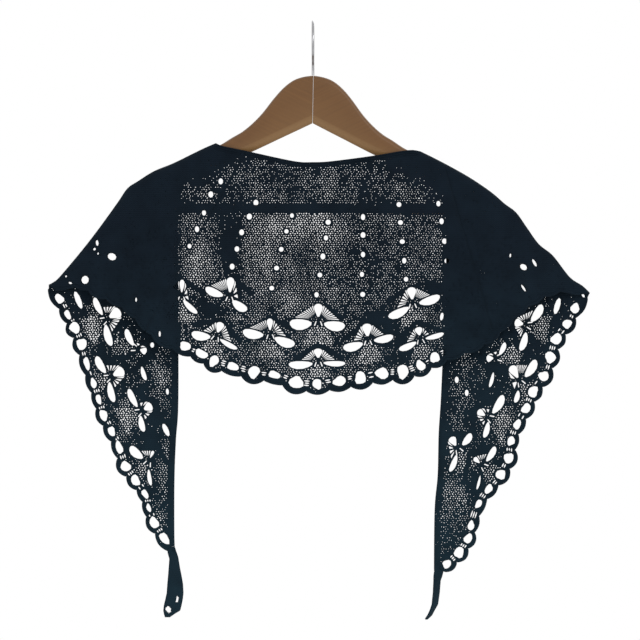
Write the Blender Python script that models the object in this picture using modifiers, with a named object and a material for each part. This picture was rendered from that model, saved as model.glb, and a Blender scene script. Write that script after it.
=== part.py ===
"""Knitted lace shawl folded over a wooden trouser hanger, hanging from the hanger's hook.

Metres, +Z up, seen from -Y. The origin is the inside top of the hook. The middle of the shawl hangs
in front of the hanger, and its two ends go over the arms and hang down behind.
"""

import math
from collections import namedtuple

import bmesh
import bpy
from mathutils import Matrix, Vector
from mathutils.geometry import delaunay_2d_cdt

# Cloth
WALL = 0.0016
SEAM_GAP = 0.0003
RIDGE_GAP = 0.0008
GRID_STEP = 0.028
GRID_CLEAR = 0.010
FLATNESS = 0.0003
FINE_STEP = 0.004
ROW_STEP = 0.018

# Hanger
ARM_HALF = 0.0065
ARM_CHAMFER = 0.010
ARM_FOOT_HALF = 0.002
ARM_TOP_DEGREES = (30, 60, 90)
HANGER_LEAN = math.radians(1.0)
LEAN_PIVOT_Z = -0.090
BAR_RADIUS = 0.004
BAR_Z = -0.2215
BAR_SIDES = 16
LUG_INNER_X = 0.2060
LUG_STEP = 0.0004
LUG_BOTTOM_Z = -0.2300

# Hook
WIRE_RADIUS = 0.0016
HOOK_RADIUS = 0.0220
HOOK_FOOT_Z = -0.0621
HOOK_TIP_DEG = -30
HOOK_NECK_DEG = 240
HOOK_STEP_DEG = 15

# Folds of the cloth over the arms
ROLL_RADIUS = ARM_HALF + SEAM_GAP + WALL / 2
ROLL_RADIUS_TIP = 0.0034
ROLL_TAPER_FROM_X = 0.226
ROLL_TAPER_TO_X = 0.318
ROLL_ROWS = (0.134, 0.5, 1.0)

# Soft waves below the hanger
BILLOW_TOP_Z = -0.180
BILLOW_DEPTH_Z = 0.110
BILLOW_FROM_FOLD = 0.070
BILLOW = 0.0040
WAVE = 0.0022

# Seams of the front layer, along lines that fan out from one point
FAN_X = 0.0726
FAN_Z = 0.1166
SEAM_SLOPES = (-0.5635, 0.2905)

# Gaps of the lace
EYELET_RADIUS = 0.0034
EYELET_SIDES = 6
OVAL_SIDES = 6
WING_SIDES = 9
HEAD_SIDES = 7
HOLE_SIDES = 7
WING_START = 0.0038
WING_SPREAD = 0.2
WING_DROP = 0.0014
WING_SAG = 0.52
WING_TAPER = 0.35
HEAD_START = 0.0019
HEAD_TAPER = 0.30

# Scalloped hems
HEM_RIM = 0.0062
HEM_DIP = 0.0080
END_RIM = 0.0048
END_DIP = 0.0052
SCALLOP_PHASES = (0.0, 0.22, 0.5, 0.78)
SCALLOP_ROUNDNESS = 0.7

Point = namedtuple("Point", "x z")
Gap = namedtuple("Gap", "turn long wide out", defaults=(0.0,))
Motif = namedtuple("Motif", "x z left right head")
TailRow = namedtuple("TailRow", "z x width turn")
Oval = namedtuple("Oval", "x z half_wide half_tall turn")
Hole = namedtuple("Hole", "x z half_along half_across")
Hem = namedtuple("Hem", "start stop holes rim dip")
Station = namedtuple("Station", "x top bottom")
Wave = namedtuple("Wave", "across down height")
Bend = namedtuple("Bend", "y drop")
Finish = namedtuple("Finish", "colour roughness metallic")

YARN = Finish((0.010, 0.017, 0.024), 0.85, 0.0)
WOOD = Finish((0.180, 0.100, 0.045), 0.50, 0.0)
STEEL = Finish((0.450, 0.450, 0.460), 0.30, 1.0)

# Soft waves of each layer: radians a metre across and down, and height against the largest
FRONT_WAVES = (Wave(47.0, 9.0, 1.0), Wave(83.0, -14.0, 0.5))
END_WAVES = (Wave(62.0, 11.0, 1.0), Wave(0.0, 31.0, 0.4))

# Bend of the hook's wire from its round part down to the wood
HOOK_BENDS = (Bend(-0.0048, 0.0042), Bend(-0.0012, 0.0078), Bend(0.0, 0.0125))

# Wooden arm, from the middle outwards: top and lower edge
ARM_STATIONS = (
    Station(0.0000, -0.0625, -0.1193),
    Station(0.0119, -0.0643, -0.1252),
    Station(0.0238, -0.0688, -0.1311),
    Station(0.0357, -0.0782, -0.1369),
    Station(0.0476, -0.0920, -0.1428),
    Station(0.0595, -0.1079, -0.1487),
    Station(0.0714, -0.1207, -0.1545),
    Station(0.0833, -0.1308, -0.1600),
    Station(0.0952, -0.1380, -0.1655),
    Station(0.1130, -0.1489, -0.1735),
    Station(0.1440, -0.1616, -0.1870),
    Station(0.1654, -0.1726, -0.1960),
    Station(0.1892, -0.1846, -0.2060),
    Station(LUG_INNER_X, -0.1960, -0.2125),
    Station(LUG_INNER_X + LUG_STEP, -0.1963, LUG_BOTTOM_Z),
    Station(0.2180, -0.2050, LUG_BOTTOM_Z),
)

# Ridge of each fold, from the neckline down to the corner of the hem
FOLD_LEFT = (
    Point(-0.1154, -0.1436), Point(-0.1315, -0.1506), Point(-0.1654, -0.1672),
    Point(-0.1892, -0.1770), Point(-0.2080, -0.1888), Point(-0.2202, -0.1970),
    Point(-0.2307, -0.2122), Point(-0.2456, -0.2331), Point(-0.2582, -0.2502),
    Point(-0.2730, -0.2692), Point(-0.2924, -0.2926), Point(-0.3052, -0.3068),
    Point(-0.3142, -0.3120),
)
FOLD_RIGHT = (
    Point(0.1273, -0.1532), Point(0.1440, -0.1614), Point(0.1670, -0.1735),
    Point(0.1892, -0.1864), Point(0.2118, -0.2019), Point(0.2282, -0.2160),
    Point(0.2410, -0.2256), Point(0.2529, -0.2422), Point(0.2683, -0.2636),
    Point(0.2848, -0.2770), Point(0.3050, -0.3028), Point(0.3200, -0.3130),
    Point(0.3290, -0.3216),
)
NECKLINE = (
    Point(-0.1154, -0.1436), Point(-0.1060, -0.1470), Point(-0.0750, -0.1535),
    Point(-0.0226, -0.1647), Point(0.0000, -0.1659), Point(0.0226, -0.1647),
    Point(0.0714, -0.1583), Point(0.1130, -0.1516), Point(0.1273, -0.1532),
)

# Holes along each hem, from the left corner to the right one, and up or down each end
FRONT_HEM = Hem(Point(-0.3082, -0.3106), Point(0.3201, -0.3159), (
    Hole(-0.2939, -0.3064, 0.0060, 0.0042), Hole(-0.2725, -0.3064, 0.0060, 0.0048),
    Hole(-0.2535, -0.3159, 0.0065, 0.0054), Hole(-0.2321, -0.3255, 0.0060, 0.0048),
    Hole(-0.2130, -0.3374, 0.0065, 0.0054), Hole(-0.1964, -0.3546, 0.0060, 0.0048),
    Hole(-0.1749, -0.3737, 0.0071, 0.0054), Hole(-0.1516, -0.3844, 0.0069, 0.0052),
    Hole(-0.1322, -0.3935, 0.0076, 0.0050), Hole(-0.1176, -0.4020, 0.0055, 0.0069),
    Hole(-0.0951, -0.4086, 0.0076, 0.0044), Hole(-0.0702, -0.4153, 0.0067, 0.0077),
    Hole(-0.0459, -0.4184, 0.0070, 0.0046), Hole(-0.0199, -0.4274, 0.0082, 0.0076),
    Hole(0.0050, -0.4294, 0.0056, 0.0061), Hole(0.0315, -0.4260, 0.0076, 0.0060),
    Hole(0.0563, -0.4221, 0.0069, 0.0074), Hole(0.0820, -0.4167, 0.0079, 0.0067),
    Hole(0.1066, -0.4147, 0.0069, 0.0083), Hole(0.1278, -0.4073, 0.0050, 0.0067),
    Hole(0.1446, -0.3979, 0.0057, 0.0064), Hole(0.1666, -0.3885, 0.0065, 0.0054),
    Hole(0.1892, -0.3802, 0.0060, 0.0048), Hole(0.2083, -0.3689, 0.0065, 0.0054),
    Hole(0.2237, -0.3540, 0.0060, 0.0048), Hole(0.2404, -0.3380, 0.0065, 0.0054),
    Hole(0.2606, -0.3237, 0.0060, 0.0048), Hole(0.2820, -0.3136, 0.0060, 0.0048),
    Hole(0.3023, -0.3106, 0.0060, 0.0042),
), HEM_RIM, HEM_DIP)
LEFT_HEM = Hem(Point(-0.3106, -0.3142), Point(-0.1696, -0.6253), (
    Hole(-0.3021, -0.3281, 0.0062, 0.0048), Hole(-0.2924, -0.3471, 0.0058, 0.0035),
    Hole(-0.2841, -0.3626, 0.0067, 0.0063), Hole(-0.2758, -0.3822, 0.0071, 0.0060),
    Hole(-0.2697, -0.4052, 0.0079, 0.0035), Hole(-0.2616, -0.4288, 0.0060, 0.0036),
    Hole(-0.2555, -0.4480, 0.0065, 0.0030), Hole(-0.2497, -0.4670, 0.0074, 0.0043),
    Hole(-0.2401, -0.4861, 0.0062, 0.0040), Hole(-0.2311, -0.5054, 0.0083, 0.0038),
    Hole(-0.2234, -0.5280, 0.0065, 0.0057), Hole(-0.2118, -0.5447, 0.0071, 0.0048),
    Hole(-0.2004, -0.5610, 0.0061, 0.0033), Hole(-0.1960, -0.5775, 0.0055, 0.0024),
    Hole(-0.1896, -0.5952, 0.0077, 0.0048), Hole(-0.1772, -0.6142, 0.0083, 0.0045),
), END_RIM, END_DIP)
RIGHT_HEM = Hem(Point(0.1535, -0.6444), Point(0.3225, -0.3249), (
    Hole(0.1597, -0.6445, 0.0057, 0.0046), Hole(0.1741, -0.6306, 0.0067, 0.0058),
    Hole(0.1850, -0.6139, 0.0064, 0.0045), Hole(0.1884, -0.5985, 0.0060, 0.0038),
    Hole(0.1975, -0.5727, 0.0057, 0.0035), Hole(0.2096, -0.5551, 0.0060, 0.0043),
    Hole(0.2240, -0.5379, 0.0063, 0.0056), Hole(0.2335, -0.5182, 0.0067, 0.0055),
    Hole(0.2362, -0.4977, 0.0060, 0.0042), Hole(0.2435, -0.4779, 0.0060, 0.0044),
    Hole(0.2539, -0.4587, 0.0064, 0.0050), Hole(0.2623, -0.4389, 0.0067, 0.0060),
    Hole(0.2750, -0.4204, 0.0062, 0.0060), Hole(0.2830, -0.3979, 0.0069, 0.0064),
    Hole(0.2902, -0.3760, 0.0069, 0.0063), Hole(0.3030, -0.3581, 0.0060, 0.0050),
    Hole(0.3121, -0.3395, 0.0064, 0.0050),
), END_RIM, END_DIP)

# Upper edge of the shawl down each end, from the arm down
LEFT_EDGE = (
    Point(-0.1226, -0.1541), Point(-0.1535, -0.1773), Point(-0.1607, -0.2166),
    Point(-0.1607, -0.3296), Point(-0.1607, -0.4510), Point(-0.1636, -0.4962),
    Point(-0.1654, -0.5438), Point(-0.1654, -0.6150),
    Point(-0.1640, -0.6290),
)
RIGHT_EDGE = (
    Point(0.1345, -0.1642), Point(0.1523, -0.1868), Point(0.1583, -0.2285),
    Point(0.1583, -0.3296), Point(0.1547, -0.4010), Point(0.1523, -0.4510),
    Point(0.1499, -0.4891), Point(0.1488, -0.5379), Point(0.1452, -0.5795),
    Point(0.1443, -0.6530),
)

# Motifs: place of the knot, and the turn, length and width of the two wings and of the head
FRONT_MOTIFS = (
    Motif(-0.1559, -0.3231, Gap(-40, 0.0214, 0.0071), Gap(-42, 0.0238, 0.0065),
          Gap(-2, 0.0155, 0.0060)),
    Motif(-0.0988, -0.3231, Gap(-26, 0.0238, 0.0095), Gap(-30, 0.0214, 0.0101),
          Gap(-3, 0.0184, 0.0093)),
    Motif(-0.1140, -0.3704, Gap(-14, 0.0238, 0.0107), Gap(-28, 0.0245, 0.0060),
          Gap(-20, 0.0131, 0.0099)),
    Motif(-0.0508, -0.3679, Gap(-13, 0.0262, 0.0113), Gap(-15, 0.0262, 0.0113), Gap(2, 0.0143, 0.0077)),
    Motif(0.0063, -0.3522, Gap(-4, 0.0274, 0.0131), Gap(-3, 0.0262, 0.0119), Gap(0, 0.0161, 0.0107)),
    Motif(0.0063, -0.4006, Gap(0, 0.0298, 0.0095), Gap(0, 0.0274, 0.0065), Gap(2, 0.0113, 0.0105)),
    Motif(0.0650, -0.3752, Gap(10, 0.0250, 0.0107), Gap(15, 0.0246, 0.0089), Gap(4, 0.0155, 0.0119)),
    Motif(0.1179, -0.3314, Gap(23, 0.0278, 0.0101), Gap(21, 0.0274, 0.0101), Gap(4, 0.0149, 0.0111)),
    Motif(0.1269, -0.3738, Gap(21, 0.0233, 0.0077), Gap(17, 0.0238, 0.0060), Gap(10, 0.0101, 0.0095)),
)
LEFT_MOTIFS = (
    Motif(-0.2451, -0.3514, Gap(-67, 0.0238, 0.0075), Gap(-73, 0.0274, 0.0089),
          Gap(-59, 0.0155, 0.0137)),
    Motif(-0.2084, -0.3881, Gap(-68, 0.0226, 0.0075), Gap(-70.5, 0.0179, 0.0054, 0.0155),
          Gap(-108, 0.0083, 0.0083)),
    Motif(-0.2404, -0.4203, Gap(-63, 0.0238, 0.0087), Gap(-75, 0.0256, 0.0081),
          Gap(-64, 0.0143, 0.0131)),
    Motif(-0.2035, -0.4611, Gap(-66, 0.0250, 0.0075), Gap(-76, 0.0202, 0.0071),
          Gap(-62, 0.0107, 0.0113)),
    Motif(-0.1952, -0.5200, Gap(-47, 0.0214, 0.0101), Gap(-80, 0.0202, 0.0048, 0.0060),
          Gap(-24, 0.0095, 0.0038)),
)
RIGHT_MOTIFS = (
    Motif(0.2529, -0.3587, Gap(71, 0.0238, 0.0081, 0.0024), Gap(60, 0.0250, 0.0098),
          Gap(78, 0.0107, 0.0101)),
    Motif(0.2172, -0.3987, Gap(74, 0.0190, 0.0042, 0.0119), Gap(68, 0.0167, 0.0060),
          Gap(95, 0.0083, 0.0083)),
    Motif(0.2454, -0.4245, Gap(72, 0.0155, 0.0060, 0.0071), Gap(60, 0.0250, 0.0101),
          Gap(29, 0.0167, 0.0107)),
    Motif(0.2072, -0.4684, Gap(73, 0.0202, 0.0068), Gap(62, 0.0262, 0.0095), Gap(59, 0.0107, 0.0083)),
    Motif(0.1714, -0.5052, Gap(66, 0.0226, 0.0065, 0.0024), Gap(56, 0.0179, 0.0083),
          Gap(30, 0.0119, 0.0095)),
    Motif(0.2005, -0.5254, Gap(75, 0.0179, 0.0033, 0.0083), Gap(61, 0.0214, 0.0075),
          Gap(48, 0.0095, 0.0060)),
)

# Eyelets of the front layer, and single gaps of each layer
EYELETS = (
    Point(-0.1295, -0.2261), Point(-0.1378, -0.2455), Point(-0.1466, -0.2657), Point(-0.1214, -0.2042),
    Point(-0.1096, -0.1887), Point(-0.0847, -0.2493), Point(-0.0903, -0.2691), Point(-0.0960, -0.2900),
    Point(-0.0756, -0.2306), Point(-0.0678, -0.2141), Point(-0.0250, -0.2294), Point(-0.0315, -0.2481),
    Point(-0.0377, -0.2695), Point(-0.0432, -0.2918), Point(-0.0490, -0.3156), Point(0.0180, -0.2372),
    Point(0.0154, -0.2559), Point(0.0117, -0.2779), Point(0.0081, -0.2999), Point(0.0042, -0.3234),
    Point(0.0594, -0.2312), Point(0.0594, -0.2525), Point(0.0594, -0.2757), Point(0.0581, -0.2992),
    Point(0.0590, -0.3230), Point(0.1021, -0.2162), Point(0.1039, -0.2376), Point(0.1060, -0.2603),
    Point(0.1083, -0.2830), Point(0.1104, -0.3050), Point(0.1490, -0.2152), Point(0.1527, -0.2361),
    Point(0.1562, -0.2598), Point(0.1589, -0.2832),
)
FRONT_OVALS = (
    Oval(0.1529, -0.3493, 0.0021, 0.0048, -10),
)
LEFT_OVALS = (
    Oval(-0.2798, -0.3296, 0.0033, 0.0111, 21.5), Oval(-0.1755, -0.4846, 0.0031, 0.0083, 25),
    Oval(-0.1737, -0.4388, 0.0019, 0.0038, 5),
)
RIGHT_OVALS = (
    Oval(0.2911, -0.3368, 0.0033, 0.0101, -16), Oval(0.1880, -0.3772, 0.0017, 0.0038, 0),
    Oval(0.1714, -0.4248, 0.0024, 0.0039, 0), Oval(0.1833, -0.4403, 0.0023, 0.0039, 0),
)

# Gaps in both layers where an end lies behind the front
LEFT_THROUGH = (
    Oval(-0.2568, -0.2617, 0.0020, 0.0037, 10), Oval(-0.2392, -0.2781, 0.0058, 0.0043, -20),
    Oval(-0.2711, -0.3057, 0.0048, 0.0050, 0), Oval(-0.2887, -0.3094, 0.0024, 0.0012, -15),
    Oval(-0.2105, -0.3292, 0.0017, 0.0029, 0), Oval(-0.1824, -0.3700, 0.0018, 0.0037, 0),
    Oval(-0.1919, -0.3833, 0.0023, 0.0032, 0),
)
RIGHT_THROUGH = (
    Oval(0.2504, -0.2905, 0.0048, 0.0037, -25), Oval(0.2635, -0.2855, 0.0021, 0.0052, 30),
    Oval(0.2504, -0.3155, 0.0018, 0.0052, 35), Oval(0.2347, -0.2767, 0.0014, 0.0026, -15),
    Oval(0.3218, -0.3243, 0.0014, 0.0026, 35),
)

# The knotted tips of the two ends, from the end panel down
LEFT_TAIL = (
    TailRow(-0.6293, -0.1685, 0.0106, 20), TailRow(-0.6378, -0.1660, 0.0134, 45),
    TailRow(-0.6497, -0.1655, 0.0165, 42), TailRow(-0.6593, -0.1649, 0.0183, 34),
    TailRow(-0.6688, -0.1645, 0.0197, 24), TailRow(-0.6795, -0.1646, 0.0204, 16),
    TailRow(-0.6866, -0.1658, 0.0209, 10), TailRow(-0.6938, -0.1674, 0.0212, 6),
    TailRow(-0.7003, -0.1686, 0.0202, 4), TailRow(-0.7039, -0.1714, 0.0132, 2),
    TailRow(-0.7081, -0.1737, 0.0060, 0),
)
RIGHT_TAIL = (
    TailRow(-0.6533, 0.1500, 0.0110, 0), TailRow(-0.6640, 0.1480, 0.0110, 44),
    TailRow(-0.6783, 0.1471, 0.0110, 48), TailRow(-0.6926, 0.1454, 0.0110, 52),
    TailRow(-0.6997, 0.1422, 0.0095, 58), TailRow(-0.7057, 0.1392, 0.0075, 52),
    TailRow(-0.7104, 0.1350, 0.0030, 40),
)


def clear_scene():
    for obj in list(bpy.data.objects):
        bpy.data.objects.remove(obj, do_unlink=True)


def make_material(name, finish):
    material = bpy.data.materials.new(name)
    material.use_nodes = True
    shader = material.node_tree.nodes["Principled BSDF"]
    shader.inputs["Base Color"].default_value = (*finish.colour, 1.0)
    shader.inputs["Roughness"].default_value = finish.roughness
    shader.inputs["Metallic"].default_value = finish.metallic
    return material


def add_object(name, data, finish, collection):
    obj = bpy.data.objects.new(name, data)
    collection.objects.link(obj)
    data.materials.append(make_material(name + "_finish", finish))
    return obj


def smooth_line(points, step):
    """A smooth curve through the points, as vectors a step or less apart."""
    ends = (points[0], *points, points[-1])
    line = []
    for a, b, c, d in zip(ends, ends[1:], ends[2:], ends[3:]):
        a, b, c, d = (Vector((p.x, p.z)) for p in (a, b, c, d))
        count = max(1, math.ceil((c - b).length / step))
        for i in range(count):
            t = i / count
            bend = (2 * a - 5 * b + 4 * c - d) * t**2 + (3 * b - a - 3 * c + d) * t**3
            line.append(b + 0.5 * ((c - a) * t + bend))
    line.append(Vector((points[-1].x, points[-1].z)))
    return line


def walk(line, distance):
    """The point at a distance along a line, and the way the line runs there."""
    for a, b in zip(line, line[1:]):
        length = (b - a).length
        if distance <= length:
            return a.lerp(b, distance / length), (b - a).normalized()
        distance -= length
    return line[-1].copy(), (line[-1] - line[-2]).normalized()


def distance_to_line(point, line):
    best = math.inf
    for a, b in zip(line, line[1:]):
        along = max(0.0, min(1.0, (point - a).dot(b - a) / (b - a).length_squared))
        best = min(best, (point - a.lerp(b, along)).length)
    return best


# The two folds as lines, left and right
FOLDS = (smooth_line(FOLD_LEFT, ROW_STEP), smooth_line(FOLD_RIGHT, ROW_STEP))


def roll_radius(x):
    """Radius of the fold: round the arm, then tighter towards the corner of the hem."""
    share = (abs(x) - ROLL_TAPER_FROM_X) / (ROLL_TAPER_TO_X - ROLL_TAPER_FROM_X)
    share = max(0.0, min(1.0, share))
    return ROLL_RADIUS + (ROLL_RADIUS_TIP - ROLL_RADIUS) * share


def ease(value):
    value = max(0.0, min(1.0, value))
    return value * value * (3 - 2 * value)


def depth(point, waves):
    """How far the cloth lies in front of or behind the ridge of its fold."""
    radius = roll_radius(point.x)
    from_fold = min(distance_to_line(point, fold) for fold in FOLDS)
    short = max(0.0, radius - from_fold)
    rolled = math.sqrt(radius**2 - short**2)
    loose = ease((BILLOW_TOP_Z - point.y) / BILLOW_DEPTH_Z) * ease(from_fold / BILLOW_FROM_FOLD)
    wave = sum(w.height * math.sin(w.across * point.x + w.down * point.y) for w in waves)
    return RIDGE_GAP / 2 + rolled + loose * (BILLOW + WAVE * wave)


def front_depth(point):
    """Place of the front layer along Y."""
    return -depth(point, FRONT_WAVES)


def end_depth(point):
    """Place of the two ends along Y, behind the hanger."""
    return depth(point, END_WAVES)


def stations(hem):
    """The line through a hem's holes, and the distances of the holes along it."""
    line = smooth_line((hem.start, *hem.holes, hem.stop), FINE_STEP)
    along = [0.0]
    for a, b in zip(line, line[1:]):
        along.append(along[-1] + (b - a).length)
    places = []
    for hole in hem.holes:
        nearest = min(range(len(line)), key=lambda i: (line[i] - Vector((hole.x, hole.z))).length)
        places.append(along[nearest])
    return line, places, along[-1]


def scallops(hem):
    """The scalloped edge beyond a hem's holes, one scallop to a hole."""
    line, places, length = stations(hem)
    ends = [0.0, *((a + b) / 2 for a, b in zip(places, places[1:])), length]
    edge = []
    for hole, start, stop in zip(hem.holes, ends, ends[1:]):
        for phase in SCALLOP_PHASES:
            place, along = walk(line, start + (stop - start) * phase)
            bulge = math.sin(math.pi * phase) ** SCALLOP_ROUNDNESS
            out = hem.dip + (hole.half_across + hem.rim - hem.dip) * bulge
            edge.append(place + Vector((along.y, -along.x)) * out)
    place, along = walk(line, length)
    edge.append(place + Vector((along.y, -along.x)) * hem.dip)
    return edge


def hem_holes(hem):
    """Outlines of a hem's holes."""
    line, places, _ = stations(hem)
    loops = []
    for hole, distance in zip(hem.holes, places):
        _, along = walk(line, distance)
        turn = math.degrees(math.atan2(along.y, along.x))
        loops.append(oval(Oval(hole.x, hole.z, hole.half_along, hole.half_across, turn), HOLE_SIDES))
    return loops


def ring(middle, half_long, half_wide, taper, sides):
    """A rounded outline, wider towards its far end."""
    loop = []
    for i in range(sides):
        angle = math.tau * (i + 0.5) / sides
        width = half_wide * (1 + taper * math.cos(angle))
        loop.append(middle + Vector((half_long * math.cos(angle), width * math.sin(angle))))
    return loop


def oval(shape, sides):
    """Outline of a plain rounded gap."""
    turn = Matrix.Rotation(math.radians(shape.turn), 2)
    loop = ring(Vector((0.0, 0.0)), shape.half_wide, shape.half_tall, 0.0, sides)
    return [Vector((shape.x, shape.z)) + turn @ place for place in loop]


def motif_gaps(motif):
    """Outlines of a motif's two wings and of the drop over its head."""
    knot = Vector((motif.x, motif.z))
    loops = []
    for gap, side in ((motif.left, -1), (motif.right, 1)):
        turn = Matrix.Rotation(math.radians(gap.turn), 2)
        along = WING_START + WING_SPREAD * gap.wide + gap.out + gap.long / 2
        middle = Vector((along, -WING_DROP - WING_SAG * gap.wide))
        loop = ring(middle, gap.long / 2, gap.wide / 2, WING_TAPER, WING_SIDES)
        loops.append([knot + turn @ Vector((side * place.x, place.y)) for place in loop])
    head = motif.head
    turn = Matrix.Rotation(math.radians(head.turn + 90), 2)
    middle = Vector((HEAD_START + head.long / 2, 0.0))
    loop = ring(middle, head.long / 2, head.wide / 2, HEAD_TAPER, HEAD_SIDES)
    return [*loops, [knot + turn @ place for place in loop]]


def lace(motifs, eyelets, ovals):
    """Outlines of a layer's gaps above its hem."""
    loops = [loop for motif in motifs for loop in motif_gaps(motif)]
    for spot in eyelets:
        loops.append(oval(Oval(spot.x, spot.z, EYELET_RADIUS, EYELET_RADIUS, 0), EYELET_SIDES))
    return loops + [oval(shape, OVAL_SIDES) for shape in ovals]


def fan_x(slope, z):
    """Place across the shawl of a line of the fan at a height."""
    return FAN_X + slope * (FAN_Z - z)


def clip(loop, slope, side):
    """The part of a closed outline on one side of a fan line, a seam gap away from it."""
    def off(point):
        return side * (point.x - fan_x(slope, point.y)) - SEAM_GAP

    kept = []
    for a, b in zip(loop, loop[1:] + loop[:1]):
        off_a, off_b = off(a), off(b)
        if off_a > 0:
            kept.append(a)
        if off_a * off_b < 0:
            kept.append(a.lerp(b, off_a / (off_a - off_b)))
    return kept


def inside(point, loop):
    """True if a point lies within a closed outline."""
    hit = False
    for a, b in zip(loop, loop[1:] + loop[:1]):
        if (a.y > point.y) != (b.y > point.y):
            if point.x < a.x + (point.y - a.y) / (b.y - a.y) * (b.x - a.x):
                hit = not hit
    return hit


def roll_rows(fold, inward):
    """Rows of points that give the fold its roundness."""
    rows = []
    for share in ROLL_ROWS:
        row = []
        for a, b in zip(fold, fold[1:]):
            along = (b - a).normalized()
            place = a.lerp(b, 0.5)
            row.append(place + Vector((along.y, -along.x)) * inward * share * roll_radius(place.x))
        rows.append(row)
    return rows


def grid_points(outline, fixed):
    """Evenly spread points inside an outline, clear of the points that are fixed."""
    xs = [p.x for p in outline]
    zs = [p.y for p in outline]
    points = []
    row = 0
    z = min(zs)
    while z < max(zs):
        x = min(xs) + (GRID_STEP / 2 if row % 2 else 0.0)
        while x < max(xs):
            point = Vector((x, z))
            near = min((point - p).length for p in fixed)
            if near > GRID_CLEAR and inside(point, outline):
                points.append(point)
            x += GRID_STEP
        z += GRID_STEP * math.sqrt(3) / 2
        row += 1
    return points


def fitted(a, b, place_y):
    """Points from a towards b, with more where a straight side would leave the hung cloth."""
    middle = a.lerp(b, 0.5)
    strays = abs(place_y(middle) - (place_y(a) + place_y(b)) / 2) > FLATNESS
    if strays or (b - a).length > GRID_STEP:
        return fitted(a, middle, place_y) + fitted(middle, b, place_y)
    return [a]


def make_panel(name, outline, holes, rows, place_y, collection):
    """A panel of cloth: its outline and gaps cut flat, then hung in its place and given a wall."""
    sides = zip(outline, outline[1:] + outline[:1])
    outline = [p for a, b in sides for p in fitted(a, b, place_y)]
    holes = [hole for hole in holes if all(inside(p, outline) for p in hole)]
    points = []
    edges = []
    for loop in (outline, *holes):
        first = len(points)
        points += loop
        edges += [(first + i, first + (i + 1) % len(loop)) for i in range(len(loop))]
    for row in rows:
        for a, b in zip(row, row[1:]):
            if inside(a, outline) and inside(b, outline):
                edges.append((len(points), len(points) + 1))
                points += [a, b]
    points += grid_points(outline, points)
    flat, _, faces, *_ = delaunay_2d_cdt(points, edges, [], 1, 1e-6)
    mesh = bmesh.new()
    verts = [mesh.verts.new((p.x, place_y(p), p.y)) for p in flat]
    for face in faces:
        centre = sum((flat[i] for i in face), Vector((0.0, 0.0))) / len(face)
        if inside(centre, outline) and not any(inside(centre, hole) for hole in holes):
            mesh.faces.new([verts[i] for i in face])
    bmesh.ops.delete(mesh, geom=[v for v in mesh.verts if not v.link_faces], context="VERTS")
    data = bpy.data.meshes.new(name)
    mesh.to_mesh(data)
    mesh.free()
    data.shade_smooth()
    obj = add_object(name, data, YARN, collection)
    add_wall(obj)


def add_wall(obj):
    wall = obj.modifiers.new("wall", "SOLIDIFY")
    wall.thickness = WALL
    wall.offset = 0.0


def make_tail(name, table, y, collection):
    """The twisted tip of one end, as a strip that turns about its own length."""
    mesh = bmesh.new()
    rows = []
    for row in table:
        turn = math.radians(row.turn)
        half = Vector((math.cos(turn), math.sin(turn), 0.0)) * row.width / 2
        centre = Vector((row.x, y, row.z))
        rows.append([mesh.verts.new(centre + half * side) for side in (-1, 0, 1)])
    for upper, lower in zip(rows, rows[1:]):
        for i in range(2):
            mesh.faces.new((upper[i], lower[i], lower[i + 1], upper[i + 1]))
    data = bpy.data.meshes.new(name)
    mesh.to_mesh(data)
    mesh.free()
    data.shade_smooth()
    obj = add_object(name, data, YARN, collection)
    add_wall(obj)


def lean(point):
    """A point of the hanger, turned with its slight lean to the right."""
    turn = Matrix.Rotation(HANGER_LEAN, 3, "Y")
    pivot = Vector((0.0, 0.0, LEAN_PIVOT_Z))
    return turn @ (Vector(point) - pivot) + pivot


def arm_section(station, side):
    """Section of a wooden arm: round top, flat faces and a chamfered lower edge."""
    half = []
    for degrees in ARM_TOP_DEGREES:
        angle = math.radians(degrees)
        half.append((ARM_HALF * math.sin(angle), station.top - ARM_HALF * (1 - math.cos(angle))))
    half += [(ARM_HALF, station.bottom + ARM_CHAMFER), (ARM_FOOT_HALF, station.bottom)]
    profile = [(0.0, station.top), *half, *((-y, z) for y, z in reversed(half))]
    x = side * max(station.x, SEAM_GAP / 2)
    return [lean((x, y, z)) for y, z in profile]


def make_arm(name, side, collection):
    mesh = bmesh.new()
    sections = [[mesh.verts.new(p) for p in arm_section(s, side)] for s in ARM_STATIONS]
    for near, far in zip(sections, sections[1:]):
        for i in range(len(near)):
            j = (i + 1) % len(near)
            mesh.faces.new((near[i], near[j], far[j], far[i]))
    mesh.faces.new(sections[0])
    mesh.faces.new(sections[-1])
    bmesh.ops.recalc_face_normals(mesh, faces=mesh.faces)
    data = bpy.data.meshes.new(name)
    mesh.to_mesh(data)
    mesh.free()
    return add_object(name, data, WOOD, collection)


def make_bar(collection):
    """The trouser bar, between the lugs at the ends of the arms."""
    length = 2 * (LUG_INNER_X - SEAM_GAP)
    mesh = bmesh.new()
    place = Matrix.Translation(lean((0.0, 0.0, BAR_Z)))
    turn = Matrix.Rotation(HANGER_LEAN, 4, "Y") @ Matrix.Rotation(math.pi / 2, 4, "Y")
    bmesh.ops.create_cone(
        mesh, cap_ends=True, segments=BAR_SIDES, radius1=BAR_RADIUS, radius2=BAR_RADIUS,
        depth=length, matrix=place @ turn,
    )
    data = bpy.data.meshes.new("bar")
    mesh.to_mesh(data)
    mesh.free()
    return add_object("bar", data, WOOD, collection)


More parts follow.
